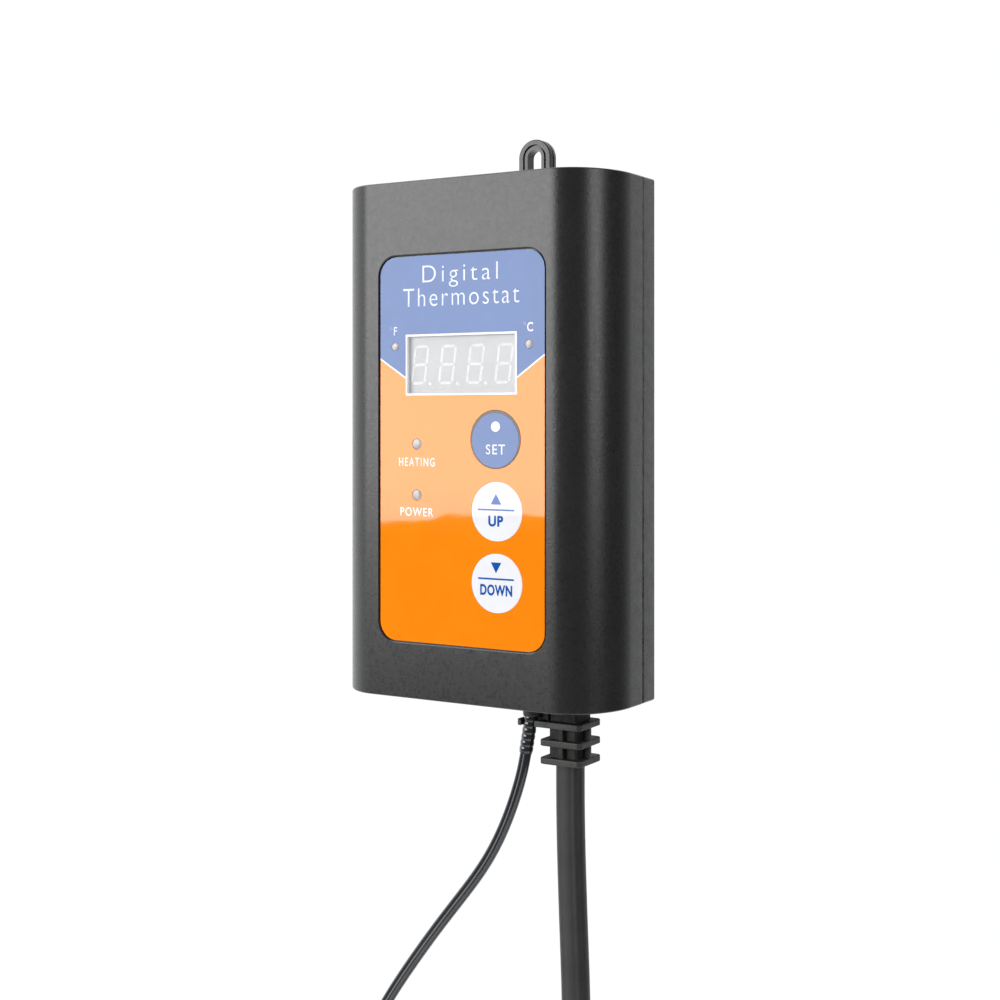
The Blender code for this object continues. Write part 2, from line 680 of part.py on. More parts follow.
def boards():
    board("control_board", CONTROL_BOARD_Y, CONTROL_BOARD_SIZE, CONTROL_BOARD_Z, control_screw_places())
    board("power_board", POWER_BOARD_Y, POWER_BOARD_SIZE, POWER_BOARD_Z, power_screw_places())
    control_parts()
    power_parts()
    board_screws()


# ---------------------------------------------------------------- cord exits
def winged_flange_outline():
    """The first flange's outline: wider to the left, with a notch open to the front for the probe lead."""
    half_w, half_d = RELIEF_FLANGE[0] / 2, RELIEF_FLANGE[1] / 2
    left, right, front, back = MAINS_X - half_w, MAINS_X + half_w, CORD_Y - half_d, CORD_Y + half_d
    soft, tip = 0.0011, 0.0007
    notch_x, notch_r = RELIEF_NOTCH
    points = arc((right - soft, back - soft), (soft, soft), 0, 90, 4)
    points += arc((left + soft, back - soft), (soft, soft), 90, 180, 4)
    points += [(left, RELIEF_WING_BACK_Y)]
    points += arc((RELIEF_WING_X + soft, RELIEF_WING_BACK_Y - soft), (soft, soft), 90, 180, 4)
    points += arc((RELIEF_WING_X + tip, front + tip), (tip, tip), 180, 270, 4)
    points += [(notch_x - notch_r, front)]
    points += arc((notch_x, PROBE_Y), (notch_r, notch_r), 180, 0, 10)
    points += [(notch_x + notch_r, front)]
    points += arc((right - soft, front + soft), (soft, soft), 270, 360, 4)
    return points


def mains_strain_relief():
    """A ladder-shaped relief: an inner stop, a square neck and three flanges joined by thin ribs."""
    top = BOTTOM_Z + WALL + GAP + 0.0070
    neck = rounded_box("mains_strain_relief", (RELIEF_NECK, RELIEF_NECK, top - RELIEF_BOTTOM_Z),
                       (MAINS_X, CORD_Y, (top + RELIEF_BOTTOM_Z) / 2), 0.0006)
    stop_low = BOTTOM_Z + WALL + GAP
    stop = rounded_box("relief_stop", (0.0100, 0.0100, top - stop_low - 0.0005),
                       (MAINS_X, CORD_Y, (top + stop_low - 0.0005) / 2), 0.0005)
    boolean(neck, applied(stop), "UNION")
    for level in range(3):
        z = RELIEF_FIRST_Z - RELIEF_PLATE / 2 - level * RELIEF_PITCH
        outline = winged_flange_outline()
        if level:
            outline = rounded_rectangle(RELIEF_FLANGE[0], RELIEF_FLANGE[1], 0.0011, 4, (MAINS_X, CORD_Y))
        flange = flat_outline(f"relief_flange_{level}", [outline], RELIEF_PLATE)
        flange.location.z = z
        edge = flange.modifiers.new("edges", "BEVEL")
        edge.width = 0.00022
        edge.segments = 2
        edge.limit_method = "ANGLE"
        edge.angle_limit = math.radians(40)
        boolean(neck, applied(flange), "UNION")
    ladder_low = RELIEF_BOTTOM_Z + 0.0006
    ladder_high = RELIEF_FIRST_Z - 0.0006
    for side in (-1, 1):
        rib_w = (RELIEF_FLANGE[0] - RELIEF_NECK) / 2 + 0.0004
        rib_x = MAINS_X + side * (RELIEF_FLANGE[0] / 2 - 0.00025 - rib_w / 2)
        rib = box(f"relief_rib_{side}", (rib_w, 0.0011, ladder_high - ladder_low),
                  (rib_x, CORD_Y, (ladder_high + ladder_low) / 2))
        boolean(neck, rib, "UNION")
        bump_y = CORD_Y + side * (RELIEF_NECK / 2 + 0.0004)
        bump = box(f"relief_bump_{side}", (0.0012, 0.0016, ladder_high - ladder_low),
                   (MAINS_X, bump_y, (ladder_high + ladder_low) / 2))
        boolean(neck, bump, "UNION")
    as_part(applied(neck), "relief_rubber")


def probe_strain_relief():
    """A round collar through the bottom wall, with an inner stop; its foot stands over the first flange."""
    stop_top = BOTTOM_Z + WALL + 0.0024
    stop_low = BOTTOM_Z + WALL + GAP
    foot = RELIEF_FIRST_Z + 0.0006
    collar = [
        (0.0, stop_top), (PROBE_STOP_R, stop_top), (PROBE_STOP_R, stop_low), (PROBE_COLLAR_R, stop_low),
        (PROBE_COLLAR_R, foot + 0.0003), (PROBE_COLLAR_R - 0.0003, foot), (0.0, foot),
    ]
    part = turned("probe_strain_relief", collar, steps=20)
    part.location = (*PROBE_COLLAR, 0)
    as_part(part, "relief_rubber")


def probe_boot():
    """The ribbed sleeve moulded on the probe lead, through the flange's notch and just below it."""
    top, length, ribs = 0.0, PROBE_BOOT_L, 6
    radius_top, radius_low = 0.00165, 0.00165
    profile = [(0.0, top), (radius_top, top)]
    pitch = length / ribs
    for rib in range(ribs):
        radius = radius_top + (radius_low - radius_top) * (rib + 0.5) / ribs
        z = top - rib * pitch
        profile += [(radius, z - pitch * 0.55), (radius - 0.00022, z - pitch * 0.65),
                    (radius - 0.00022, z - pitch * 0.92)]
    profile += [(radius_low - 0.0001, top - length), (0.0, top - length)]
    part = turned("probe_boot", profile, steps=14)
    part.rotation_euler = (0, PROBE_BOOT_TILT, 0)
    part.location = (PROBE_X, PROBE_Y, RELIEF_FIRST_Z + 0.0001)
    as_part(part, "relief_rubber")


# ---------------------------------------------------------------- cords
def smooth_route(points, steps):
    """Points on a smooth curve through the route's own points."""
    spots = [Vector(p) for p in points]
    ends = [2 * spots[0] - spots[1]] + spots + [2 * spots[-1] - spots[-2]]
    route = []
    for i in range(1, len(ends) - 2):
        before, here, there, after = ends[i - 1:i + 3]
        for step in range(steps):
            t = step / steps
            route.append(0.5 * (
                2 * here + (there - before) * t
                + (2 * before - 5 * here + 4 * there - after) * t * t
                + (3 * here - before - 3 * there + after) * t ** 3
            ))
    route.append(spots[-1])
    return route


def tube(name, points, diameter, finish, resolution, steps):
    curve = bpy.data.curves.new(name, "CURVE")
    curve.dimensions = "3D"
    curve.bevel_depth = diameter / 2
    curve.bevel_resolution = resolution
    curve.use_fill_caps = True
    route = smooth_route(points, steps)
    spline = curve.splines.new("POLY")
    spline.points.add(len(route) - 1)
    for point, spot in zip(spline.points, route):
        point.co = (*spot, 1.0)
    obj = bpy.data.objects.new(name, curve)
    bpy.context.scene.collection.objects.link(obj)
    as_part(as_mesh(obj), finish)


def coil(name, centre, radius, columns, layers, diameter, finish):
    """One solid of a wound coil's outer shape, its axis along Y."""
    half_w, half_r, soft = columns * diameter / 2, layers * diameter / 2, diameter * 0.3
    profile = rounded_rectangle(2 * half_r, 2 * half_w, soft, 2, centre=(radius, 0))
    mesh = bpy.data.meshes.new(name)
    count = len(profile)
    mesh.from_pydata([(r, 0.0, z) for r, z in profile], [(i, (i + 1) % count) for i in range(count)], [])
    obj = bpy.data.objects.new(name, mesh)
    bpy.context.scene.collection.objects.link(obj)
    screw = obj.modifiers.new("turn", "SCREW")
    screw.axis = "Z"
    screw.steps = COIL_SIDES
    screw.render_steps = COIL_SIDES
    screw.use_merge_vertices = True
    screw.merge_threshold = 1e-6
    screw.use_normal_flip = True
    applied(obj)
    obj.rotation_euler = (math.radians(90), 0, 0)
    obj.location = centre
    as_part(obj, finish)


def tie_band(name, angle, bore_r, low, half_width, band, thickness):
    """A flat strap closed round a section of the mains coil, at an angle about the coil's Y axis.

    bore_r is the radius of the innermost turns, whose curve the straight strap has to clear, and low
    is their distance from the mains coil's centre.
    """
    clearance = bore_r - math.sqrt((bore_r * math.cos(math.pi / COIL_SIDES)) ** 2 - (band / 2) ** 2)
    high = MAINS_COIL_R + MAINS_COIL_LAYERS * MAINS_D / 2
    middle = (low - clearance + high) / 2
    inner = (high - low + clearance + 2 * GAP, 2 * (half_width + GAP))
    outer = (inner[0] + 2 * thickness, inner[1] + 2 * thickness)
    loops = [rounded_rectangle(outer[0], outer[1], 0.0022, 4), rounded_rectangle(inner[0], inner[1], 0.0014, 4)]
    strap = flat_outline(name, loops, band)
    along = Matrix.Translation(Vector(MAINS_COIL)) @ Matrix.Rotation(-angle, 4, "Y")
    strap.matrix_world = along @ Matrix.Translation((middle, 0, 0))
    as_part(strap, "tie_black")


def mains_cord():
    tube("mains_cord", MAINS_ROUTE, MAINS_D, "cord_black", 3, ROUTE_STEPS["mains"])
    tube("mains_cord_end", PLUG_ROUTE, MAINS_D, "cord_black", 3, ROUTE_STEPS["mains"])
    coil("mains_cord_coil", MAINS_COIL, MAINS_COIL_R, MAINS_COIL_COLUMNS, MAINS_COIL_LAYERS, MAINS_D,
         "cord_black")
    bore_r = MAINS_COIL_R - MAINS_COIL_LAYERS * MAINS_D / 2
    half_width = MAINS_COIL_COLUMNS * MAINS_D / 2
    tie_band("mains_cord_tie", math.radians(152), bore_r, bore_r, half_width, 0.0100, 0.0008)


def probe_cord():
    tube("probe_cord", PROBE_ROUTE, PROBE_D, "probe_lead_black", 2, ROUTE_STEPS["probe"])
    tube("probe_cord_end", TIP_ROUTE, PROBE_D, "probe_lead_black", 2, ROUTE_STEPS["probe"])
    coil("probe_cord_coil", PROBE_COIL, PROBE_COIL_R, PROBE_COIL_COLUMNS, PROBE_COIL_LAYERS, PROBE_D,
         "probe_lead_black")
    bore_r = PROBE_COIL_R - PROBE_COIL_LAYERS * PROBE_D / 2
    low = bore_r + MAINS_COIL[2] - PROBE_COIL[2]
    half_width = MAINS_COIL_COLUMNS * MAINS_D / 2
    tie_band("probe_cord_tie", math.radians(-90), bore_r, low, half_width, 0.0090, 0.0008)


# ---------------------------------------------------------------- plug and probe
def plug():
    """A pass-through plug: blades and ground pin to the front, a switched outlet on its back."""
    relief = [
        (0.0, 0.0), (0.0042, 0.0), (0.0048, -0.0100), (0.0056, -0.0180), (0.0066, -PLUG_RELIEF_L),
        (0.0, -PLUG_RELIEF_L),
    ]
    part = turned("plug_strain_relief", relief, steps=20)
    part.location = (PLUG_X, PLUG_Y, PLUG_RELIEF_TOP)
    as_part(part, "plug_black")
    centre = (PLUG_X, PLUG_Y, PLUG_TOP - PLUG_SIZE[2] / 2)
    body = rounded_box("plug_body", PLUG_SIZE, centre, 0.0035, 3)
    back = PLUG_Y + PLUG_SIZE[1] / 2
    front = PLUG_Y - PLUG_SIZE[1] / 2
    pin_z = centre[2] - GROUND_DROP / 2 + 0.0020
    blade_z = pin_z + GROUND_DROP
    for side in (-1, 1):
        slot = (0.0022, 0.0120, 0.0074 if side > 0 else 0.0084)
        boolean(body, box(f"outlet_slot_{side}", slot, (PLUG_X + side * BLADE_SPREAD, back, blade_z)))
    boolean(body, rod("outlet_ground", 0.0026, (back - 0.0060, back + 0.002), (PLUG_X, pin_z), sides=16))
    for side in (-1, 1):
        seat = (BLADE_SIZE[0] + 2 * GAP, 0.0060, BLADE_SIZE[2] + 2 * GAP)
        boolean(body, box(f"blade_seat_{side}", seat, (PLUG_X + side * BLADE_SPREAD, front, blade_z)))
    boolean(body, rod("pin_seat", 0.0024 + GAP, (front - 0.002, front + 0.0030), (PLUG_X, pin_z), sides=16))
    as_part(applied(body), "plug_black")
    root = front + 0.0030 - GAP
    for side, name in ((-1, "plug_blade_left"), (1, "plug_blade_right")):
        length = BLADE_SIZE[1] + root - front
        blade = rounded_box(name, (BLADE_SIZE[0], length, BLADE_SIZE[2]),
                            (PLUG_X + side * BLADE_SPREAD, root - length / 2, blade_z), 0.00035, 1)
        as_part(applied(blade), "brass_plate")
    tip = -(front - 0.0200)
    pin = [(0.0, tip), (0.0010, tip - 0.0002), (0.0024, tip - 0.0030), (0.0024, -root), (0.0, -root)]
    as_part(facing_front(turned("plug_ground_pin", pin, steps=20), PLUG_X, pin_z), "brass_plate")


def probe():
    """The probe's shrink sleeve and its closed steel tube."""
    x, y, z = TIP_ROUTE[-1]
    sleeve_top = z - GAP
    sleeve_low = sleeve_top - PROBE_SLEEVE_L
    sleeve = [(0.0, sleeve_top), (0.0019, sleeve_top), (0.0021, sleeve_top - 0.0030),
              (0.0027, sleeve_top - 0.0060), (0.0027, sleeve_low), (0.0, sleeve_low)]
    part = turned("probe_sleeve", sleeve, steps=20)
    part.location = (x, y, 0)
    as_part(part, "probe_lead_black")
    tip_top = sleeve_low - GAP
    tip_low = tip_top - PROBE_TIP_L
    nose = arc((0.0, tip_low + PROBE_TIP_R), (PROBE_TIP_R, PROBE_TIP_R), 0, -90, 6)
    nose[-1] = (0.0, tip_low)
    part = turned("probe_tip", [(0.0, tip_top), (PROBE_TIP_R, tip_top)] + nose, steps=24)
    part.location = (x, y, 0)
    as_part(part, "steel")


def main():
    global PARTS, CUTTERS
    clear_scene()
    PARTS = new_collection("heat_mat_controller")
    CUTTERS = new_collection("cutters")
    front_housing()
    rear_cover()
    housing_screws()
    overlay_label()
    display()
    keys()
    lamps()
    boards()
    mains_strain_relief()
    probe_strain_relief()
    probe_boot()
    mains_cord()
    probe_cord()
    plug()
    probe()


main()
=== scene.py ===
"""Looks for the wall-hung heat-mat thermostat controller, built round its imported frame."""
import math

import bmesh
import bpy
from mathutils import Matrix, Vector


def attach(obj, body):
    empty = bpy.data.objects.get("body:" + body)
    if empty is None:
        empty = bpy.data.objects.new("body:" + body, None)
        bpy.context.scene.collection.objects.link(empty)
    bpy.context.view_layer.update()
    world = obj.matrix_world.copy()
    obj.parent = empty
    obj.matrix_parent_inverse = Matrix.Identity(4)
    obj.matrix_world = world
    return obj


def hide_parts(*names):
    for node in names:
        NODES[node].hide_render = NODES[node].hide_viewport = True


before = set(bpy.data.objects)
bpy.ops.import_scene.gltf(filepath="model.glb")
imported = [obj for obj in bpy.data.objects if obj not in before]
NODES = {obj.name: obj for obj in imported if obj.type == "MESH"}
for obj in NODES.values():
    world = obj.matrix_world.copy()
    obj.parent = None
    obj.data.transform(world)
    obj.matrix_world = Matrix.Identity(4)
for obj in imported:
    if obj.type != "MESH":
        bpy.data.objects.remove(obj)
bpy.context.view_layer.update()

HOUSING = "housing"

# ---------------------------------------------------------------- dimensions, in metres, as in the CAD
BODY_W, BODY_D, BODY_H = 0.0730, 0.0280, 0.1200
CENTRE_X, CENTRE_Z = -0.0060, -0.0672
TOP_Z, BOTTOM_Z = CENTRE_Z + BODY_H / 2, CENTRE_Z - BODY_H / 2
SEAM_Y, WALL, GAP = -0.0065, 0.0020, 0.0003
CORNER_X, CORNER_Y = 0.0125, 0.0160
FRONT_Y = -BODY_D

TAB_W, TAB_T, TAB_TOP_Z, SLOT_W = 0.0087, 0.0030, 0.0043, 0.0038

LABEL_X, LABEL_Z = CENTRE_X + 0.0009, CENTRE_Z - 0.0022
LABEL_W, LABEL_H, LABEL_R = 0.0444, 0.0892, 0.0044
RECESS_DEPTH = 0.00095
LABEL_Y = FRONT_Y + 0.00025
LABEL_T = 0.0004
WINDOW_W, WINDOW_H, WINDOW_Z = 0.0302, 0.0142, CENTRE_Z + 0.01725
BORDER = 0.00054
DISPLAY_Y = FRONT_Y + 0.0013
DIGIT_PITCH = 0.0076
BLUE_LEFT = (-0.01415, 0.0143, -0.626)    # x, z and slope of the blue area's edge, left of the window
BLUE_RIGHT = (0.0162, 0.0142, 0.696)      # and right of it
WHITE_LINE_W = 0.00036
INK = 0.00003
FILM_CLEARANCE = 0.00003

KEY_R, KEY_FLANGE_R, KEY_STEM_R = 0.0069, 0.0079, 0.0024
KEY_X = LABEL_X + 0.0099
KEY_ZS = {"set": CENTRE_Z + 0.0002, "up": CENTRE_Z - 0.0160, "down": CENTRE_Z - 0.0321}
CAPS = {  # centre and radius of what shows of each key
    "set": (KEY_X - 0.00044, 0.00662),
    "up": (KEY_X - 0.00010, 0.00670),
    "down": (KEY_X - 0.00010, 0.00670),
}
LAMPS = {
    "fahrenheit": (LABEL_X - 0.0180, CENTRE_Z + 0.0216, 0.00100),
    "celsius": (LABEL_X + 0.0182, CENTRE_Z + 0.0214, 0.00100),
    "heating": (LABEL_X - 0.0119, CENTRE_Z - 0.0010, 0.00128),
    "power": (LABEL_X - 0.0119, CENTRE_Z - 0.0128, 0.00128),
}
SCREWS = [(CENTRE_X + sx * 0.0300, CENTRE_Z + sz * 0.0520) for sx in (-1, 1) for sz in (-1, 1)]

CORD_Y, MAINS_X, MAINS_D = -0.0130, 0.0154, 0.0065
FLANGE_W, FLANGE_D, PLATE, PITCH, NECK = 0.0106, 0.0105, 0.0015, 0.0041, 0.0070
FIRST_Z = BOTTOM_Z - 0.0039
RELIEF_LOW = FIRST_Z - PLATE - 2 * PITCH
WING_X, WING_BACK_Y, NOTCH_X, NOTCH_R = 0.0042, -0.0112, 0.00705, 0.00172
PROBE_X, PROBE_Y, PROBE_D = 0.0071, -0.0166, 0.0031
COLLAR = (0.0073, -0.0161)
BOOT_TILT, BOOT_L = math.radians(10), 0.0082

MAINS_COIL, MAINS_COIL_R = Vector((0.0220, -0.0130, -0.3000)), 0.03525
PROBE_COIL, PROBE_COIL_R = Vector((0.0220, -0.0130, -0.3068)), 0.0170

MAINS_ROUTE = [
    (0.0154, -0.0130, RELIEF_LOW - GAP), (0.0154, -0.0130, -0.1520), (0.0157, -0.0130, -0.1640),
    (0.0162, -0.0130, -0.1780), (0.0168, -0.0130, -0.1920), (0.0170, -0.0131, -0.2050),
    (0.0164, -0.0136, -0.2157), (0.0145, -0.0148, -0.2262), (0.0113, -0.0165, -0.2364),
    (0.0069, -0.0182, -0.2460), (0.0021, -0.0193, -0.2552), (-0.0007, -0.0195, -0.2605),
]
PLUG_ROUTE = [
    (-0.0081, -0.0263, -0.3109), (-0.0050, -0.0263, -0.3189), (-0.0012, -0.0263, -0.3262),
    (0.0036, -0.0263, -0.3330), (0.0080, -0.0263, -0.3402), (0.0108, -0.0263, -0.3482),
    (0.0119, -0.0263, -0.3566), (0.0120, -0.0263, -0.3650),
]
PROBE_ROUTE = [
    (0.0056, -0.0166, -0.1396), (0.0050, -0.0166, -0.1425), (0.0044, -0.0166, -0.1448),
    (0.0029, -0.0166, -0.1496), (0.0006, -0.0166, -0.1554), (-0.0023, -0.0166, -0.1614),
    (-0.0061, -0.0166, -0.1675), (-0.0108, -0.0166, -0.1735), (-0.0157, -0.0166, -0.1795),
    (-0.0206, -0.0166, -0.1857), (-0.0254, -0.0166, -0.1921), (-0.0301, -0.0166, -0.1986),
    (-0.0346, -0.0167, -0.2054), (-0.0387, -0.0168, -0.2128), (-0.0421, -0.0170, -0.2210),
    (-0.0445, -0.0173, -0.2300), (-0.0457, -0.0177, -0.2396), (-0.0455, -0.0183, -0.2492),
    (-0.0439, -0.0192, -0.2586), (-0.0408, -0.0203, -0.2675), (-0.0361, -0.0217, -0.2755),
    (-0.0300, -0.0230, -0.2824), (-0.0228, -0.0241, -0.2879), (-0.0148, -0.0247, -0.2919),
    (-0.0054, -0.0247, -0.2946), (0.0045, -0.0238, -0.2946),
]
TIP_ROUTE = [
    (0.0410, -0.0247, -0.3090), (0.0418, -0.0247, -0.3160), (0.0421, -0.0247, -0.3240),
    (0.0422, -0.0247, -0.3330), (0.0422, -0.0247, -0.3430), (0.0422, -0.0247, -0.3530),
]
TURN_STEPS = 96
STRAP_T = 0.0008

PLUG_SIZE = (0.0340, 0.0270, 0.0380)
BLADE_SPREAD, PIN_DROP = 0.00635, 0.0119
PLUG_X, PLUG_Y = PLUG_ROUTE[-1][:2]
PLUG_RELIEF_L = 0.0260
PLUG_RELIEF_TOP = PLUG_ROUTE[-1][2] - GAP
PLUG_TOP = PLUG_RELIEF_TOP - PLUG_RELIEF_L - GAP


# ---------------------------------------------------------------- camera, lights, floor
def make_camera():
    data = bpy.data.cameras.new("camera")
    data.lens = 57.36
    data.sensor_width = 36.0
    data.shift_y = -0.0844
    data.clip_start = 0.01
    camera = bpy.data.objects.new("camera", data)
    bpy.context.scene.collection.objects.link(camera)
    camera.location = (0.19218, -0.33155, -0.06166)
    camera.rotation_euler = (math.radians(90), 0, math.radians(31.56))
    bpy.context.scene.camera = camera


def area_light(name, centre, aim, size, power, colour=(1, 1, 1)):
    """A soft panel that the camera doesn't see: size is its width and height."""
    data = bpy.data.lights.new(name, "AREA")
    data.shape = "RECTANGLE"
    data.size, data.size_y = size
    data.energy = power
    data.color = colour
    light = bpy.data.objects.new(name, data)
    bpy.context.scene.collection.objects.link(light)
    light.location = centre
    light.rotation_euler = (Vector(aim) - Vector(centre)).to_track_quat("-Z", "Y").to_euler()
    light.visible_camera = False


def make_world():
    """White to the camera. To everything else it is dim, and bright only behind and to the left."""
    world = bpy.data.worlds.new("surroundings")
    bpy.context.scene.world = world
    world.use_nodes = True
    tree = world.node_tree
    tree.nodes.clear()
    kinds = {"output": "OutputWorld", "mix": "MixShader", "path": "LightPath", "seen": "Background",
             "place": "TexCoord", "toward": "VectorMath", "ramp": "MapRange", "dim": "Background"}
    nodes = {name: tree.nodes.new("ShaderNode" + kind) for name, kind in kinds.items()}
    nodes["seen"].inputs["Color"].default_value = (1.0, 1.0, 1.0, 1.0)
    nodes["seen"].inputs["Strength"].default_value = 1.02
    nodes["toward"].operation = "DOT_PRODUCT"
    nodes["toward"].inputs[1].default_value = (-0.75, 0.66, 0.10)
    for name, value in (("From Min", -0.10), ("From Max", 0.55), ("To Min", 0.09), ("To Max", 1.30)):
        nodes["ramp"].inputs[name].default_value = value
    nodes["dim"].inputs["Color"].default_value = (0.98, 0.99, 1.0, 1.0)
    for source, output, target, socket in (
            ("place", "Generated", "toward", 0), ("toward", "Value", "ramp", "Value"),
            ("ramp", "Result", "dim", "Strength"), ("path", "Is Camera Ray", "mix", "Fac"),
            ("dim", "Background", "mix", 1), ("seen", "Background", "mix", 2),
            ("mix", "Shader", "output", "Surface")):
        tree.links.new(nodes[source].outputs[output], nodes[target].inputs[socket])


def make_floor():
    bm = bmesh.new()
    bmesh.ops.create_circle(bm, cap_ends=True, segments=96, radius=0.50)
    floor = mesh_object("floor", bm, (0, 0, -0.4400))
    paint = Surface("floor_paint", grey(0.90), 0.85)
    paint.vary(grey(0.90), grey(0.88), 3.0)
    floor.data.materials.append(paint.material)


def make_lights():
    """One large soft panel to the front left and two weak fills."""
    middle = (LABEL_X, FRONT_Y, LABEL_Z)
    turn = math.radians(-32)
    distance = 1.5
    side = Vector((math.sin(turn), -math.cos(turn), 0))
    low, high = -0.178, 1.02
    centre = Vector(middle) + side * distance
    centre.z = (low + high) / 2
    aim = (centre.x - side.x, centre.y - side.y, centre.z)
    area_light("key_panel", centre, aim, (1.25, high - low), 27)
    area_light("right_fill", (1.45, -0.28, 0.62), (0, -0.28, 0.62), (0.60, 1.50), 11)
    area_light("top_fill", (-0.78, -0.28, 1.00), (0, 0, -0.1), (0.8, 0.8), 6.0)


# ---------------------------------------------------------------- materials
class Surface:
    """A node-based finish: a base colour, then colour variation, grain and wear added to it."""

    def __init__(self, name, colour, roughness, metallic=0.0, coat=0.0):
        self.material = bpy.data.materials.new(name)
        self.material.use_nodes = True
        self.tree = self.material.node_tree
        self.shader = self.tree.nodes["Principled BSDF"]
        self.shader.inputs["Base Color"].default_value = (*colour, 1.0)
        self.shader.inputs["Roughness"].default_value = roughness
        self.shader.inputs["Metallic"].default_value = metallic
        self.shader.inputs["Coat Weight"].default_value = coat
        self.material.diffuse_color = (*colour, 1.0)
        self.normal = None
        self.place = self.node("ShaderNodeTexCoord").outputs["Object"]

    def node(self, kind, **settings):
        node = self.tree.nodes.new(kind)
        for key, value in settings.items():
            setattr(node, key, value)
        return node

    def link(self, source, target):
        self.tree.links.new(source, target)

    def noise(self, scale, detail=3.0, stretch=(1, 1, 1)):
        mapping = self.node("ShaderNodeMapping")
        mapping.inputs["Scale"].default_value = stretch
        self.link(self.place, mapping.inputs["Vector"])
        noise = self.node("ShaderNodeTexNoise")
        noise.inputs["Scale"].default_value = scale
        noise.inputs["Detail"].default_value = detail
        noise.inputs["Roughness"].default_value = 0.55
        self.link(mapping.outputs["Vector"], noise.inputs["Vector"])
        return noise.outputs["Fac"]

    def spread(self, value, low, high, to_low, to_high):
        node = self.node("ShaderNodeMapRange")
        limits = {"From Min": low, "From Max": high, "To Min": to_low, "To Max": to_high}
        for name, number in limits.items():
            node.inputs[name].default_value = number
        self.link(value, node.inputs["Value"])
        return node.outputs["Result"]

    def math(self, operation, a, b):
        node = self.node("ShaderNodeMath", operation=operation)
        for socket, value in zip(node.inputs, (a, b)):
            if isinstance(value, (int, float)):
                socket.default_value = value
            else:
                self.link(value, socket)
        return node.outputs["Value"]

    def mix(self, factor, a, b):
        """Blends two colours, each a triple or an output."""
        node = self.node("ShaderNodeMix", data_type="RGBA")
        self.link(factor, node.inputs["Factor"])
        for socket, value in ((node.inputs[6], a), (node.inputs[7], b)):
            if isinstance(value, tuple):
                socket.default_value = (*value, 1.0)
            else:
                self.link(value, socket)
        return node.outputs[2]

    def colour(self, output):
        self.link(output, self.shader.inputs["Base Color"])
        self.base = output
        return self

    def vary(self, a, b, scale, detail=3.0, stretch=(1, 1, 1)):
        patches = self.spread(self.noise(scale, detail, stretch), 0.3, 0.7, 0, 1)
        return self.colour(self.mix(patches, a, b))

    def worn(self, light, low=0.52, high=0.60):
        """Lightens convex edges."""
        edge = self.spread(self.node("ShaderNodeNewGeometry").outputs["Pointiness"], low, high, 0, 1)
        patchy = self.math("MULTIPLY", edge, self.spread(self.noise(420, 2), 0.35, 0.7, 0.2, 1))
        return self.colour(self.mix(patchy, self.base, light))

    def rough(self, low, high, scale, detail=3.0, stretch=(1, 1, 1)):
        grain = self.noise(scale, detail, stretch)
        self.link(self.spread(grain, 0.3, 0.7, low, high), self.shader.inputs["Roughness"])
        return self

    def bump(self, scale, distance, strength=1.0, detail=3.0, stretch=(1, 1, 1)):
        node = self.node("ShaderNodeBump")
        node.inputs["Strength"].default_value = strength
        node.inputs["Distance"].default_value = distance
        self.link(self.noise(scale, detail, stretch), node.inputs["Height"])
        if self.normal:
            self.link(self.normal, node.inputs["Normal"])
        self.normal = node.outputs["Normal"]
        self.link(self.normal, self.shader.inputs["Normal"])
        return self

    def on(self, *objs):
        for obj in objs:
            obj.data.materials.clear()
            obj.data.materials.append(self.material)
        return self


def grey(value):
    return (value, value, value)


def moulded(name, dark, light, low, high, grain=2600, depth=0.00005, edge=None):
    """Matte moulded plastic or rubber with a fine stipple."""
    paint = Surface(name, dark, (low + high) / 2)
    paint.vary(dark, light, 60, 5)
    if edge:
        paint.worn(edge)
    paint.rough(low, high, 900, 2)
    paint.bump(grain, depth, 0.55, 2)
    return paint


def printed(name, dark, light):
    """Glossy printed film: nearly even ink, a faint screen grain and a slight waviness."""
    paint = Surface(name, dark, 0.020)
    paint.vary(dark, light, 140, 6)
    paint.rough(0.020, 0.035, 260, 3)
    paint.bump(34, 0.00030, 0.50, 1.5)
    paint.bump(5200, 0.0000004, 0.35, 2)
    return paint


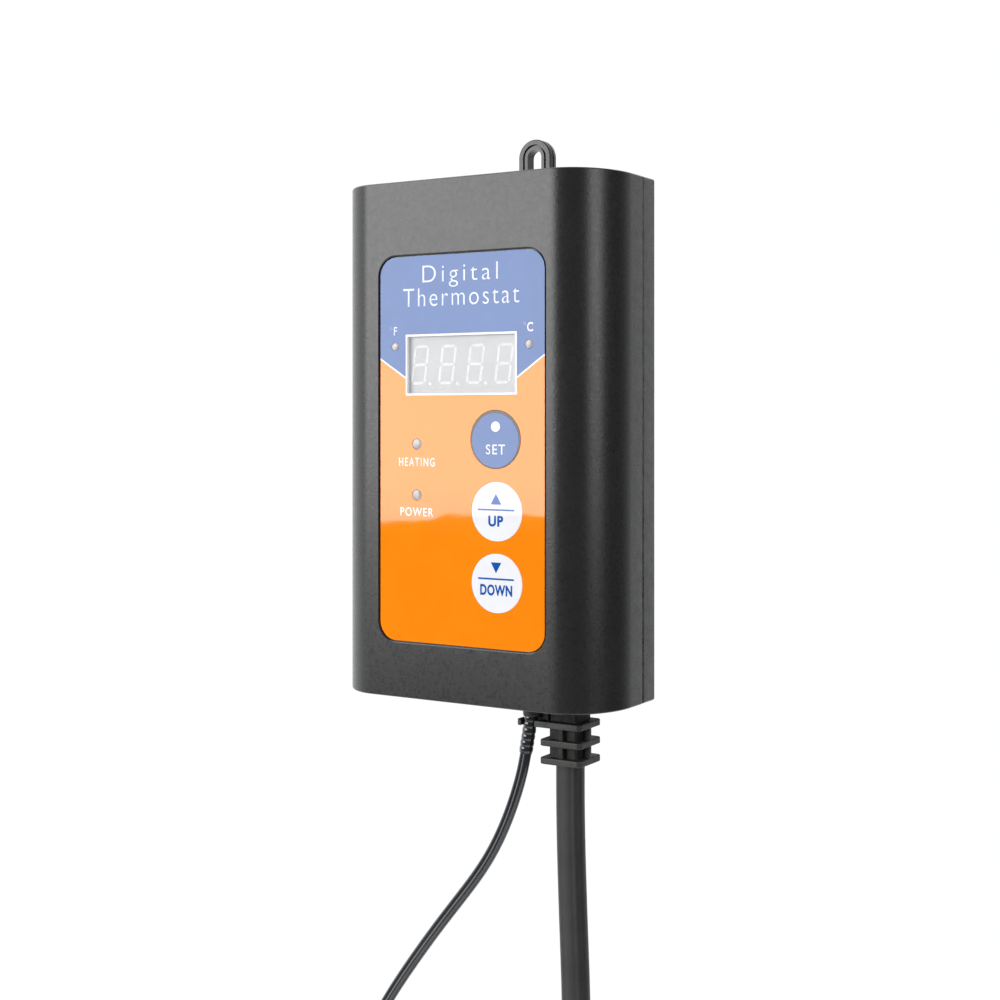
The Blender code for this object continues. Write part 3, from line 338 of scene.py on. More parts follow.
def make_materials():
    m = {}
    m["housing"] = moulded("housing_plastic", grey(0.016), grey(0.022), 0.25, 0.33, 2600, 0.00005,
                           grey(0.060))
    m["relief"] = moulded("relief_rubber", grey(0.014), (0.022, 0.022, 0.021), 0.42, 0.56, 2200, 0.00006,
                          (0.075, 0.075, 0.073))
    # Painted shade: a darker rubber for the relief's faces that lie in shade.
    m["relief_painted_shade"] = moulded("relief_painted_shade", (0.004, 0.004, 0.003), (0.008, 0.008, 0.006), 0.60, 0.75, 2200,
                               0.00006)
    m["plug"] = moulded("plug_plastic", (0.030, 0.030, 0.031), (0.040, 0.040, 0.041), 0.42, 0.55, 2400,
                        0.00005,
                        grey(0.070))
    m["blue"] = printed("film_blue", (0.042, 0.118, 0.350), (0.050, 0.134, 0.385))
    m["orange"] = printed("film_orange", (0.93, 0.225, 0.002), (0.96, 0.245, 0.004))
    # Painted reflection: the orange is blended lighter towards its top, where the key light's reflection
    # washes the film.
    height = m["orange"].node("ShaderNodeSeparateXYZ")
    m["orange"].link(m["orange"].place, height.inputs["Vector"])
    painted_wash = m["orange"].spread(height.outputs["Z"], CENTRE_Z - 0.022, CENTRE_Z - 0.010, 0, 1)
    m["orange"].colour(m["orange"].mix(painted_wash, m["orange"].base, (0.96, 0.275, 0.010)))
    m["white_line"] = printed("film_white", (0.84, 0.85, 0.87), (0.88, 0.88, 0.90))
    m["ink_white"] = printed("ink_white", (0.82, 0.83, 0.85), (0.90, 0.90, 0.92))
    m["ink_pale"] = printed("ink_pale", (0.66, 0.70, 0.80), (0.74, 0.78, 0.86))
    m["ink_faint"] = printed("ink_faint", (0.26, 0.34, 0.56), (0.32, 0.40, 0.62))
    m["ink_blue"] = printed("ink_blue", (0.004, 0.085, 0.38), (0.006, 0.095, 0.42))
    m["key_white"] = printed("key_white", (0.80, 0.81, 0.85), (0.84, 0.85, 0.88))
    m["key_lilac"] = printed("key_lilac", (0.046, 0.120, 0.350), (0.056, 0.138, 0.390))
    # Painted shadow: the SET cap's dark colour shows as a shaded ring round its lilac disc.
    m["key_shadow_ring"] = printed("key_shadow_ring", (0.060, 0.035, 0.026), (0.075, 0.045, 0.034))
    m["border"] = printed("window_border", (0.84, 0.85, 0.87), (0.88, 0.89, 0.91))

    face = Surface("display_face", (0.46, 0.47, 0.49), 0.35)
    face.vary((0.50, 0.505, 0.515), (0.53, 0.535, 0.545), 220, 4)
    face.rough(0.28, 0.42, 500).bump(1500, 0.000003, 0.3)
    m["face"] = face
    segment = Surface("display_segment", (0.72, 0.73, 0.74), 0.30)
    segment.vary((0.70, 0.705, 0.71), (0.76, 0.765, 0.77), 700, 4)
    segment.rough(0.22, 0.38, 800).bump(1500, 0.000003, 0.3)
    m["segment"] = segment

    pane = Surface("window_clear", (0.95, 0.97, 1.0), 0.10)
    pane.vary((0.95, 0.97, 1.0), (0.92, 0.94, 0.97), 90).rough(0.08, 0.15, 260).bump(34, 0.00030, 0.75, 1.5)
    pane.shader.inputs["Alpha"].default_value = 0.10
    m["pane"] = pane

    lens = Surface("lamp_lens", (0.62, 0.58, 0.58), 0.28, coat=0.3)
    lens.vary((0.40, 0.37, 0.375), (0.62, 0.58, 0.585), 900, 3)
    lens.rough(0.20, 0.38, 1600).bump(3000, 0.00003, 0.5)
    lens.shader.inputs["Subsurface Weight"].default_value = 0.35
    lens.shader.inputs["Subsurface Scale"].default_value = 0.0006
    lens.shader.inputs["Subsurface Radius"].default_value = (1.0, 0.9, 0.9)
    m["lens"] = lens

    board = Surface("board_green", (0.015, 0.15, 0.05), 0.38, coat=0.4)
    tracks = board.spread(board.noise(900, 2, stretch=(1, 1, 0.08)), 0.50, 0.53, 0, 1)
    board.colour(board.mix(tracks, (0.012, 0.12, 0.04), (0.03, 0.22, 0.08))).rough(0.30, 0.50, 700)
    board.bump(900, 0.00004, 0.6, 2, (1, 1, 0.08))
    m["board"] = board

    m["black_part"] = moulded("component_black", (0.018, 0.018, 0.019), (0.028, 0.028, 0.029), 0.38, 0.55,
                              2400)
    m["blue_part"] = moulded("component_blue", (0.03, 0.11, 0.38), (0.04, 0.14, 0.44), 0.30, 0.45, 1800)
    m["yellow_part"] = moulded("component_yellow", (0.70, 0.46, 0.07), (0.80, 0.54, 0.10), 0.30, 0.45, 1800)
    m["cream_part"] = moulded("connector_cream", (0.70, 0.67, 0.57), (0.78, 0.75, 0.66), 0.35, 0.50, 1800)
    m["green_part"] = moulded("terminal_green", (0.04, 0.32, 0.10), (0.06, 0.38, 0.14), 0.35, 0.50, 1800)

    steel = Surface("steel", (0.55, 0.55, 0.56), 0.30, 1.0)
    steel.vary((0.48, 0.48, 0.49), (0.62, 0.62, 0.63), 500, 4, (1, 1, 0.12))
    steel.rough(0.20, 0.38, 1400, 3, (1, 1, 0.06))
    steel.bump(2600, 0.00001, 0.5, 2, (1, 1, 0.05))
    m["steel"] = steel
    brass = Surface("brass_plate", (0.72, 0.56, 0.27), 0.26, 1.0)
    brass.vary((0.64, 0.49, 0.22), (0.78, 0.63, 0.33), 400, 4).rough(0.18, 0.36, 900, 3, (1, 0.1, 1))
    brass.bump(2400, 0.00001, 0.5, 2, (1, 0.08, 1))
    m["brass"] = brass

    jacket = Surface("cord_jacket", (0.030, 0.030, 0.029), 0.36)
    jacket.vary(grey(0.017), (0.025, 0.025, 0.024), 120, 4).rough(0.42, 0.54, 600).bump(1500, 0.00003, 0.5)
    m["jacket"] = jacket
    lead = Surface("probe_jacket", (0.016, 0.018, 0.021), 0.16)
    lead.vary((0.014, 0.016, 0.019), (0.022, 0.024, 0.028), 160, 4)
    lead.rough(0.09, 0.15, 700).bump(400, 0.00001, 0.25)
    lead.shader.inputs["IOR"].default_value = 1.6
    lead.shader.inputs["Coat Weight"].default_value = 0.5
    lead.shader.inputs["Coat Roughness"].default_value = 0.06
    m["lead"] = lead

    strap = Surface("strap_weave", (0.020, 0.020, 0.021), 0.85)
    strap.shader.inputs["Sheen Weight"].default_value = 0.4
    loops = strap.noise(2600, 2)
    strap.colour(strap.mix(strap.spread(loops, 0.35, 0.65, 0, 1), (0.012, 0.012, 0.013),
                           (0.040, 0.040, 0.042)))
    strap.rough(0.75, 0.95, 1200).bump(2600, 0.00025, 0.9, 2)
    m["strap"] = strap
    return m


# ---------------------------------------------------------------- mesh helpers
def mesh_object(name, bm, location=(0, 0, 0)):
    mesh = bpy.data.meshes.new(name)
    bm.to_mesh(mesh)
    bm.free()
    obj = bpy.data.objects.new(name, mesh)
    bpy.context.scene.collection.objects.link(obj)
    obj.location = location
    return obj


def loft(name, rings):
    """A solid through rings of the same number of points, capped at both ends."""
    bm = bmesh.new()
    loops = [[bm.verts.new(p) for p in ring] for ring in rings]
    count = len(rings[0])
    for a, b in zip(loops, loops[1:]):
        for i in range(count):
            bm.faces.new((a[i], a[(i + 1) % count], b[(i + 1) % count], b[i]))
    bm.faces.new(loops[0])
    bm.faces.new(loops[-1])
    bmesh.ops.recalc_face_normals(bm, faces=bm.faces)
    return mesh_object(name, bm)


def arc(centre, radii, start, end, steps):
    points = []
    for step in range(steps + 1):
        angle = math.radians(start + (end - start) * step / steps)
        points.append((centre[0] + radii[0] * math.cos(angle), centre[1] + radii[1] * math.sin(angle)))
    return points


def rounded_rectangle(width, height, radius, steps=8, centre=(0, 0)):
    x, y = width / 2 - radius, height / 2 - radius
    points = []
    for (cx, cy), start in (((x, y), 0), ((-x, y), 90), ((-x, -y), 180), ((x, -y), 270)):
        points += arc((centre[0] + cx, centre[1] + cy), (radius, radius), start, start + 90, steps)
    return points


def arch(width, top, bottom, steps=24):
    radius = width / 2
    return [(-radius, bottom), (radius, bottom)] + arc((0, top - radius), (radius, radius), 0, 180, steps)


def prism_y(name, outline, y0, y1, flare=None):
    """An XZ outline pushed along Y. flare is the outline's wider twin for the y0 end, and where it ends."""
    rings = [[(x, y0, z) for x, z in outline], [(x, y1, z) for x, z in outline]]
    if flare:
        wide, y_flare = flare
        rings = [[(x, y0, z) for x, z in wide], [(x, y_flare, z) for x, z in outline], rings[1]]
    return loft(name, rings)


def prism_z(name, outline, z0, z1):
    return loft(name, [[(x, y, z0) for x, y in outline], [(x, y, z1) for x, y in outline]])


def box(name, size, centre):
    bm = bmesh.new()
    bmesh.ops.create_cube(bm, size=1.0)
    bmesh.ops.scale(bm, vec=size, verts=bm.verts)
    return mesh_object(name, bm, centre)


def rod(name, radius, ends, at, sides=48, axis="Y"):
    low, high = min(ends), max(ends)
    bm = bmesh.new()
    bmesh.ops.create_cone(bm, cap_ends=True, segments=sides, radius1=radius, radius2=radius, depth=high - low)
    if axis == "Y":
        bmesh.ops.rotate(bm, matrix=Matrix.Rotation(math.radians(-90), 3, "X"), verts=bm.verts)
        return mesh_object(name, bm, (at[0], (low + high) / 2, at[1]))
    return mesh_object(name, bm, (at[0], at[1], (low + high) / 2))


def turned(name, profile, steps=64):
    """A turned solid about Z, from (radius, z) pairs that start and end on the axis."""
    bm = bmesh.new()
    rings = []
    for radius, z in profile:
        if radius < 1e-9:
            rings.append([bm.verts.new((0, 0, z))])
            continue
        angles = [math.tau * i / steps for i in range(steps)]
        rings.append([bm.verts.new((radius * math.cos(a), radius * math.sin(a), z)) for a in angles])
    for a, b in zip(rings, rings[1:]):
        for i in range(steps):
            j = (i + 1) % steps
            corners = [a[i % len(a)], a[j % len(a)], b[j % len(b)], b[i % len(b)]]
            unique = list(dict.fromkeys(corners))
            if len(unique) > 2:
                bm.faces.new(unique)
    bmesh.ops.recalc_face_normals(bm, faces=bm.faces)
    return mesh_object(name, bm)


def baked(obj):
    """The object's transform and modifiers made part of its mesh."""
    bpy.context.view_layer.update()
    evaluated = obj.evaluated_get(bpy.context.evaluated_depsgraph_get())
    mesh = bpy.data.meshes.new_from_object(evaluated)
    mesh.transform(obj.matrix_world)
    obj.modifiers.clear()
    obj.data = mesh
    obj.matrix_world = Matrix.Identity(4)
    return obj


def combine(target, others, operation="DIFFERENCE"):
    """Cuts, or joins, several solids in turn."""
    baked(target)
    for other in others:
        baked(other)
        modifier = target.modifiers.new("combine", "BOOLEAN")
        modifier.operation = operation
        modifier.solver = "EXACT"
        modifier.object = other
        baked(target)
        bpy.data.objects.remove(other)
    return target


def bevel(obj, width, segments=3, angle=35):
    modifier = obj.modifiers.new("bevel", "BEVEL")
    modifier.width = width
    modifier.segments = segments
    modifier.limit_method = "ANGLE"
    modifier.angle_limit = math.radians(angle)
    modifier.use_clamp_overlap = True
    return baked(obj)


def finish(obj, paint, body=HOUSING, replaces=(), smooth=40, weighted=True):
    """Shading, finish, body and slot of a piece that is in place."""
    baked(obj)
    obj.data.shade_smooth()
    obj.data.set_sharp_from_angle(angle=math.radians(smooth))
    if weighted:
        normals = obj.modifiers.new("normals", "WEIGHTED_NORMAL")
        normals.keep_sharp = True
        baked(obj)
    if paint:
        paint.on(obj)
    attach(obj, body)
    if replaces:
        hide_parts(*replaces)
    return obj


# ---------------------------------------------------------------- housing
def side_profile(inset, back_y, steps=40):
    half, front = BODY_W / 2 - inset, FRONT_Y + inset
    radii = (CORNER_X - inset, CORNER_Y - inset)
    right = arc((half - radii[0], front + radii[1]), radii, -90, 0, steps)
    left = arc((-half + radii[0], front + radii[1]), radii, 180, 270, steps)
    return [(x + CENTRE_X, y) for x, y in left + right + [(half, back_y), (-half, back_y)]]


def front_housing(m):
    edge, soft = 0.00045, 4
    rings = []
    for step in range(soft + 1):
        angle = math.pi / 2 * step / soft
        rings.append((edge * (1 - math.sin(angle)), TOP_Z - edge * (1 - math.cos(angle))))
    rings += [(inset, 2 * CENTRE_Z - z) for inset, z in reversed(rings)]
    back = SEAM_Y - GAP / 2
    shell = loft("front_shell", [[(x, y, z) for x, y in side_profile(inset, back - inset * 0.4)]
                                 for inset, z in rings])
    hollow = prism_z("hollow", side_profile(WALL, SEAM_Y + 0.004), BOTTOM_Z + WALL, TOP_Z - WALL)
    combine(shell, [hollow])
    bosses = []
    for place in SCREWS:
        limit = prism_z("limit", side_profile(WALL / 2, SEAM_Y + 0.004), BOTTOM_Z, TOP_Z)
        boss = rod("boss", 0.0032, (-0.0252, SEAM_Y - GAP), place, 24)
        bosses.append(combine(boss, [limit], "INTERSECT"))
    combine(shell, bosses, "UNION")
    narrow = rounded_rectangle(LABEL_W + 2 * GAP, LABEL_H + 2 * GAP, LABEL_R + GAP, 14, (LABEL_X, LABEL_Z))
    spread = 0.00045
    wide_w, wide_h = LABEL_W + 2 * GAP + 2 * spread, LABEL_H + 2 * GAP + 2 * spread
    wide = rounded_rectangle(wide_w, wide_h, LABEL_R + GAP + spread, 14, (LABEL_X, LABEL_Z))
    recess = prism_y("recess", narrow, FRONT_Y - 0.0002, FRONT_Y + RECESS_DEPTH, (wide, FRONT_Y + 0.00022))
    cuts = [recess, box("window", (WINDOW_W + 2 * GAP, 0.008, WINDOW_H + 2 * GAP),
                        (LABEL_X, FRONT_Y, WINDOW_Z))]
    wall = (FRONT_Y - 0.002, FRONT_Y + WALL + 0.002)
    cuts += [rod("key", KEY_R + GAP, wall, (KEY_X, z)) for z in KEY_ZS.values()]
    cuts += [rod("lamp", r + GAP, wall, (x, z), 24) for x, z, r in LAMPS.values()]
    cuts += [rod("pilot", 0.0016, (-0.0180, 0.0), place, 16) for place in SCREWS]
    cuts += [box("relief", (NECK + 2 * GAP, NECK + 2 * GAP, 0.008), (MAINS_X, CORD_Y, BOTTOM_Z))]
    cuts += [rod("collar", 0.0026, (BOTTOM_Z - WALL, BOTTOM_Z + 2 * WALL), COLLAR, 32, "Z")]
    combine(shell, cuts)
    finish(shell, m["housing"], replaces=["front_housing"], smooth=30)


def rear_cover(m):
    front = SEAM_Y + GAP / 2
    cover = box("rear_shell", (BODY_W, -front, BODY_H), (CENTRE_X, front / 2, CENTRE_Z))
    baked(cover)
    bevel(cover, 0.00055, 3)
    combine(cover, [box("rear_hollow", (BODY_W - 2 * WALL, -front, BODY_H - 2 * WALL),
                        (CENTRE_X, front / 2 - WALL, CENTRE_Z))])
    combine(cover, [rod("pillar", 0.0042, (front, -0.0010), place, 24) for place in SCREWS], "UNION")

    foot = TOP_Z - 0.0040
    tab = prism_y("tab", arch(TAB_W, TAB_TOP_Z, foot, 36), -TAB_T, 0.0)
    bevel(tab, 0.00030, 3)
    cuts = []
    grooves = ((0.0012, 0.0017, -TAB_T, 0.00055), (-0.0010, 0.00035, -TAB_T / 2, 0.00025))
    for outer, inner, y, depth in grooves:
        outline = arch(TAB_W - 2 * outer, TAB_TOP_Z - outer, foot - 0.004, 36)
        ring = prism_y("groove", outline, y - depth, y + depth)
        outline = arch(TAB_W - 2 * inner, TAB_TOP_Z - inner, foot - 0.006, 36)
        core = prism_y("core", outline, y - 0.002, y + 0.002)
        cuts.append(combine(ring, [core]))
    cuts.append(prism_y("slot", arch(SLOT_W, SLOT_W / 2, TOP_Z + 0.0006, 24), -0.008, 0.004))
    combine(tab, cuts)
    combine(cover, [tab], "UNION")
    cuts = [rod("counterbore", 0.0030, (-0.0032, 0.002), place, 32) for place in SCREWS]
    cuts += [rod("through", 0.0016, (-0.010, 0.002), place, 20) for place in SCREWS]
    combine(cover, cuts)
    finish(cover, m["housing"], replaces=["rear_cover"], smooth=30)


# ---------------------------------------------------------------- front panel
def blue_edge(x):
    """Height of the blue area's lower edge, left and right of the window."""
    x -= CENTRE_X
    corner_x, corner_z, slope = BLUE_LEFT if x < 0 else BLUE_RIGHT
    return CENTRE_Z + corner_z + (x - corner_x) * slope


def overlay(m):
    """The printed film: blue above, orange below, and a thin white line between them."""
    outline = rounded_rectangle(LABEL_W, LABEL_H, LABEL_R, 16, (LABEL_X, LABEL_Z))
    film = prism_y("overlay_film", outline, LABEL_Y, LABEL_Y + LABEL_T)
    through = (LABEL_Y - 0.002, LABEL_Y + 0.002)
    cuts = [box("film_window", (WINDOW_W + 0.00004, 0.004, WINDOW_H + 0.00004), (LABEL_X, LABEL_Y, WINDOW_Z))]
    for name, z in KEY_ZS.items():
        cuts.append(rod("film_key", CAPS[name][1] + FILM_CLEARANCE, through, (CAPS[name][0], z), 96))
    cuts += [rod("film_lamp", r + FILM_CLEARANCE, through, (x, z), 32) for x, z, r in LAMPS.values()]
    combine(film, cuts)
    bm = bmesh.new()
    bm.from_mesh(film.data)
    half = WHITE_LINE_W / 2
    for x0, x1 in ((-0.03, BLUE_LEFT[0]), (BLUE_RIGHT[0], 0.03)):
        a, b = CENTRE_X + x0, CENTRE_X + x1
        direction = Vector((b - a, 0, blue_edge(b) - blue_edge(a))).normalized()
        normal = Vector((-direction.z, 0, direction.x))
        for side in (-half, half):
            spot = Vector((a, 0, blue_edge(a))) + normal * side
            everything = bm.verts[:] + bm.edges[:] + bm.faces[:]
            bmesh.ops.bisect_plane(bm, geom=everything, plane_co=spot, plane_no=normal)
    for face in bm.faces:
        middle = face.calc_center_median()
        height = middle.z - blue_edge(middle.x)
        slope = (BLUE_LEFT if middle.x < CENTRE_X else BLUE_RIGHT)[2]
        line = abs(height) < half * math.hypot(1, slope) * 1.02
        below = middle.z < WINDOW_Z - WINDOW_H / 2
        face.material_index = 1 if below else (2 if line else (0 if height > 0 else 1))
    bm.to_mesh(film.data)
    bm.free()
    finish(film, None, replaces=["overlay_label"], smooth=30, weighted=False)
    indices = [face.material_index for face in film.data.polygons]
    film.data.materials.clear()
    for name in ("blue", "orange", "white_line"):
        film.data.materials.append(m[name].material)
    for face, index in zip(film.data.polygons, indices):
        face.material_index = index


def lettering(name, text, spot, paint, body=HOUSING, weight=0.0, spacing=1.0, y=LABEL_Y):
    """Printed words that fill a box on the front: x0, x1, z0, z1 in metres."""
    x0, x1, z0, z1 = spot
    curve = bpy.data.curves.new(name, "FONT")
    curve.body = text
    curve.space_character = spacing
    curve.offset = weight
    curve.extrude = 0.02
    curve.resolution_u = 6
    obj = bpy.data.objects.new(name, curve)
    bpy.context.scene.collection.objects.link(obj)
    bpy.context.view_layer.update()
    mesh = bpy.data.meshes.new_from_object(obj.evaluated_get(bpy.context.evaluated_depsgraph_get()))
    bpy.data.objects.remove(obj)
    xs, ys = [v.co.x for v in mesh.vertices], [v.co.y for v in mesh.vertices]
    for vertex in mesh.vertices:
        across = (vertex.co.x - min(xs)) / (max(xs) - min(xs))
        up = (vertex.co.y - min(ys)) / (max(ys) - min(ys))
        sheet = y - (INK if vertex.co.z > 0 else -INK / 3)
        vertex.co = (x0 + across * (x1 - x0), sheet, z0 + up * (z1 - z0))
    bm = bmesh.new()
    bm.from_mesh(mesh)
    bmesh.ops.remove_doubles(bm, verts=bm.verts, dist=1e-7)
    bmesh.ops.recalc_face_normals(bm, faces=bm.faces)
    bpy.data.meshes.remove(mesh)
    finish(mesh_object(name, bm), paint, body, smooth=30, weighted=False)


def around(x, z, width, height):
    """A box on the front, from a centre measured from the housing's centre."""
    x, z = CENTRE_X + x, CENTRE_Z + z
    return (x - width / 2, x + width / 2, z - height / 2, z + height / 2)


def flat_print(name, outline, paint, body=HOUSING, y=LABEL_Y, ink=INK):
    finish(prism_y(name, outline, y - ink, y + ink / 3), paint, body, smooth=30, weighted=False)


def legends(m):
    white, title = m["ink_white"], m["ink_pale"]
    lettering("title_line_1", "Digital", around(0.0008, 0.0375, 0.0204, 0.0052), title, weight=-0.010,
              spacing=1.3)
    lettering("title_line_2", "Thermostat", around(0.0009, 0.0328, 0.0314, 0.0042), title, weight=-0.010,
              spacing=1.2)
    lettering("mark_fahrenheit", "F", around(-0.0170, 0.0252, 0.00095, 0.0019), title)
    lettering("mark_celsius", "C", around(0.0194, 0.0252, 0.00150, 0.0021), white, weight=0.015)
    for name, x, z in (("degree_f", -0.0182, 0.0258), ("degree_c", 0.0180, 0.0259)):
        outline = arc((CENTRE_X + x, CENTRE_Z + z), (0.00036, 0.00036), 0, 345, 23)
        ring = prism_y(name, outline, LABEL_Y - INK, LABEL_Y + INK / 3)
        hole = rod("hole", 0.00024, (LABEL_Y - 0.001, LABEL_Y + 0.001), (CENTRE_X + x, CENTRE_Z + z), 24)
        finish(combine(ring, [hole]), m["ink_faint"], weighted=False)
    lettering("word_heating", "HEATING", around(-0.0110, -0.00517, 0.0100, 0.0020), white, weight=0.010,
              spacing=1.28)
    lettering("word_power", "POWER", around(-0.0110, -0.01672, 0.0092, 0.0020), white, weight=0.010,
              spacing=1.22)


def keys(m):
    stem_y, flange_y = -0.0240, FRONT_Y + WALL + GAP
    for name, z in KEY_ZS.items():
        body = f"{name}_key"
        front = -LABEL_Y
        (x, radius), chamfer = CAPS[name], 0.00010
        edge = arc((radius - chamfer, front - chamfer), (chamfer, chamfer), 90, 0, 3)
        profile = [(0, front)] + edge + [
            (radius, -flange_y), (KEY_FLANGE_R, -flange_y), (KEY_FLANGE_R, -flange_y - 0.0008),
            (KEY_STEM_R, -flange_y - 0.0008), (KEY_STEM_R, -stem_y), (0, -stem_y)]
        cap = turned(f"cap_{name}", profile, 96)
        cap.rotation_euler = (math.radians(90), 0, 0)
        cap.location = (x, 0, z)
        # The SET cap takes the dark colour of the painted shadow ring.
        paint, slot = ("key_shadow_ring", "key_lilac") if name == "set" else ("key_white", "key_white")
        finish(cap, m[paint], body, [f"key_{name}"], smooth=50)

    def mark(name, key, outline):
        flat_print(name, [(CENTRE_X + x, CENTRE_Z + z) for x, z in outline], m["ink_blue"],
                   f"{key}_key")

    kx, kz = CAPS["set"][0], KEY_ZS["set"]
    # The disc sits a little below the cap's centre, so the dark ring shows thicker at the top: a painted
    # shadow.
    disc = arc((kx, kz - 0.00024), (0.00612, 0.00612), 0, 356, 89)
    flat_print("disc_set", disc, m["key_lilac"], "set_key", y=LABEL_Y - 0.00002)
    dot = arc((kx + 0.00006, kz + 0.00286), (0.00118, 0.00118), 0, 352, 44)
    flat_print("dot_set", dot, m["ink_white"], "set_key", y=LABEL_Y - 0.00005)
    lettering("word_set", "SET", around(0.01040, -0.00205, 0.00500, 0.00225), m["ink_white"],
              "set_key",
              0.004, 1.18, LABEL_Y - 0.00005)
    mark("arrow_up", "up", [(0.0091, -0.0144), (0.0119, -0.0144), (0.0105, -0.0120)])
    mark("line_up", "up", [(0.0057, -0.01580), (0.0153, -0.01580), (0.0153, -0.01542), (0.0057, -0.01542)])
    lettering("word_up", "UP", around(0.01045, -0.01812, 0.0039, 0.0025), m["ink_blue"],
              "up_key", 0.036, 1.1)
    mark("arrow_down", "down", [(0.0092, -0.0274), (0.0105, -0.0298), (0.0119, -0.0274)])
    mark("line_down", "down", [(0.0058, -0.03130), (0.0152, -0.03130), (0.0152, -0.03092),
                               (0.0058, -0.03092)])
    lettering("word_down", "DOWN", around(0.01055, -0.03362, 0.0084, 0.0025), m["ink_blue"],
              "down_key",
              0.034, 1.1)


def display(m):
    """The window's white border, its clear pane, and the module's face with four slanted digits."""
    half_w, half_h = WINDOW_W / 2, WINDOW_H / 2
    ring = box("window_frame", (WINDOW_W, DISPLAY_Y - LABEL_Y - 0.0002, WINDOW_H),
               (LABEL_X, (DISPLAY_Y + LABEL_Y - 0.0002) / 2, WINDOW_Z))
    hole = box("hole", (WINDOW_W - 2 * BORDER, 0.01, WINDOW_H - 2 * BORDER), (LABEL_X, LABEL_Y, WINDOW_Z))
    finish(bevel(combine(ring, [hole]), 0.00006, 1), m["border"], replaces=["display_window"],
           smooth=30)
    pane = box("window_pane", (WINDOW_W - 2 * BORDER - 0.0001, 0.00022, WINDOW_H - 2 * BORDER - 0.0001),
               (LABEL_X, LABEL_Y + 0.00018, WINDOW_Z))
    finish(bevel(pane, 0.00004, 1), m["pane"], smooth=30)
    m["face"].on(NODES["digit_display"])

    height, width, stroke, slant, gap = 0.0091, 0.0042, 0.00064, 0.135, 0.00017
    base_z = CENTRE_Z + 0.01272
    for digit in range(4):
        left = CENTRE_X - 0.01268 - 0.0008 + digit * DIGIT_PITCH
        bars = []
        for z in (stroke / 2, height / 2, height - stroke / 2):
            a, b, t = gap + stroke / 2, width - gap - stroke / 2, stroke / 2
            bars.append([(a, z), (a + t, z - t), (b - t, z - t), (b, z), (b - t, z + t), (a + t, z + t)])
        for x in (stroke / 2, width - stroke / 2):
            for z0, z1 in ((stroke / 2, height / 2), (height / 2, height - stroke / 2)):
                a, b, t = z0 + gap, z1 - gap, stroke / 2
                bars.append([(x, a), (x + t, a + t), (x + t, b - t), (x, b), (x - t, b - t), (x - t, a + t)])
        for index, bar in enumerate(bars):
            outline = [(left + x + slant * z, base_z + z) for x, z in bar]
            flat_print(f"segment_{digit + 1}_{index + 1}", outline, m["segment"], y=DISPLAY_Y,
                       ink=0.00004)
        if digit < 3:
            point = arc((left + width + 0.00125, base_z + 0.00018), (0.00042, 0.00042), 0, 330, 11)
            flat_print(f"segment_{digit + 1}_point", point, m["segment"], y=DISPLAY_Y,
                       ink=0.00004)


def lamps(m):
    for name, (x, z, r) in LAMPS.items():
        tip = -FRONT_Y - 0.00005
        shoulder = 0.0254
        profile = [(0, tip)] + arc((0, tip - r * 0.32), (r, r * 0.32), 80, 0, 8) + [
            (r, shoulder), (0.0015, shoulder - 0.0004), (0.0015, 0.0212),
            (0.0019, 0.0212), (0.0019, 0.0199), (0, 0.0199)]
        lens = turned(f"lens_{name}", profile, 40)
        lens.rotation_euler = (math.radians(90), 0, 0)
        lens.location = (x, 0, z)
        finish(lens, m["lens"], replaces=[f"led_{name}"], smooth=60)


# ---------------------------------------------------------------- cord exits
def winged_outline():
    left, right = MAINS_X - FLANGE_W / 2, MAINS_X + FLANGE_W / 2
    front, back = CORD_Y - FLANGE_D / 2, CORD_Y + FLANGE_D / 2
    soft, tip, steps = 0.0011, 0.0007, 6
    points = arc((right - soft, back - soft), (soft, soft), 0, 90, steps)
    points += arc((left + soft, back - soft), (soft, soft), 90, 180, steps) + [(left, WING_BACK_Y)]
    points += arc((WING_X + soft, WING_BACK_Y - soft), (soft, soft), 90, 180, steps)
    points += arc((WING_X + tip, front + tip), (tip, tip), 180, 270, steps) + [(NOTCH_X - NOTCH_R, front)]
    points += arc((NOTCH_X, PROBE_Y), (NOTCH_R, NOTCH_R), 180, 0, 16) + [(NOTCH_X + NOTCH_R, front)]
    return points + arc((right - soft, front + soft), (soft, soft), 270, 360, steps)


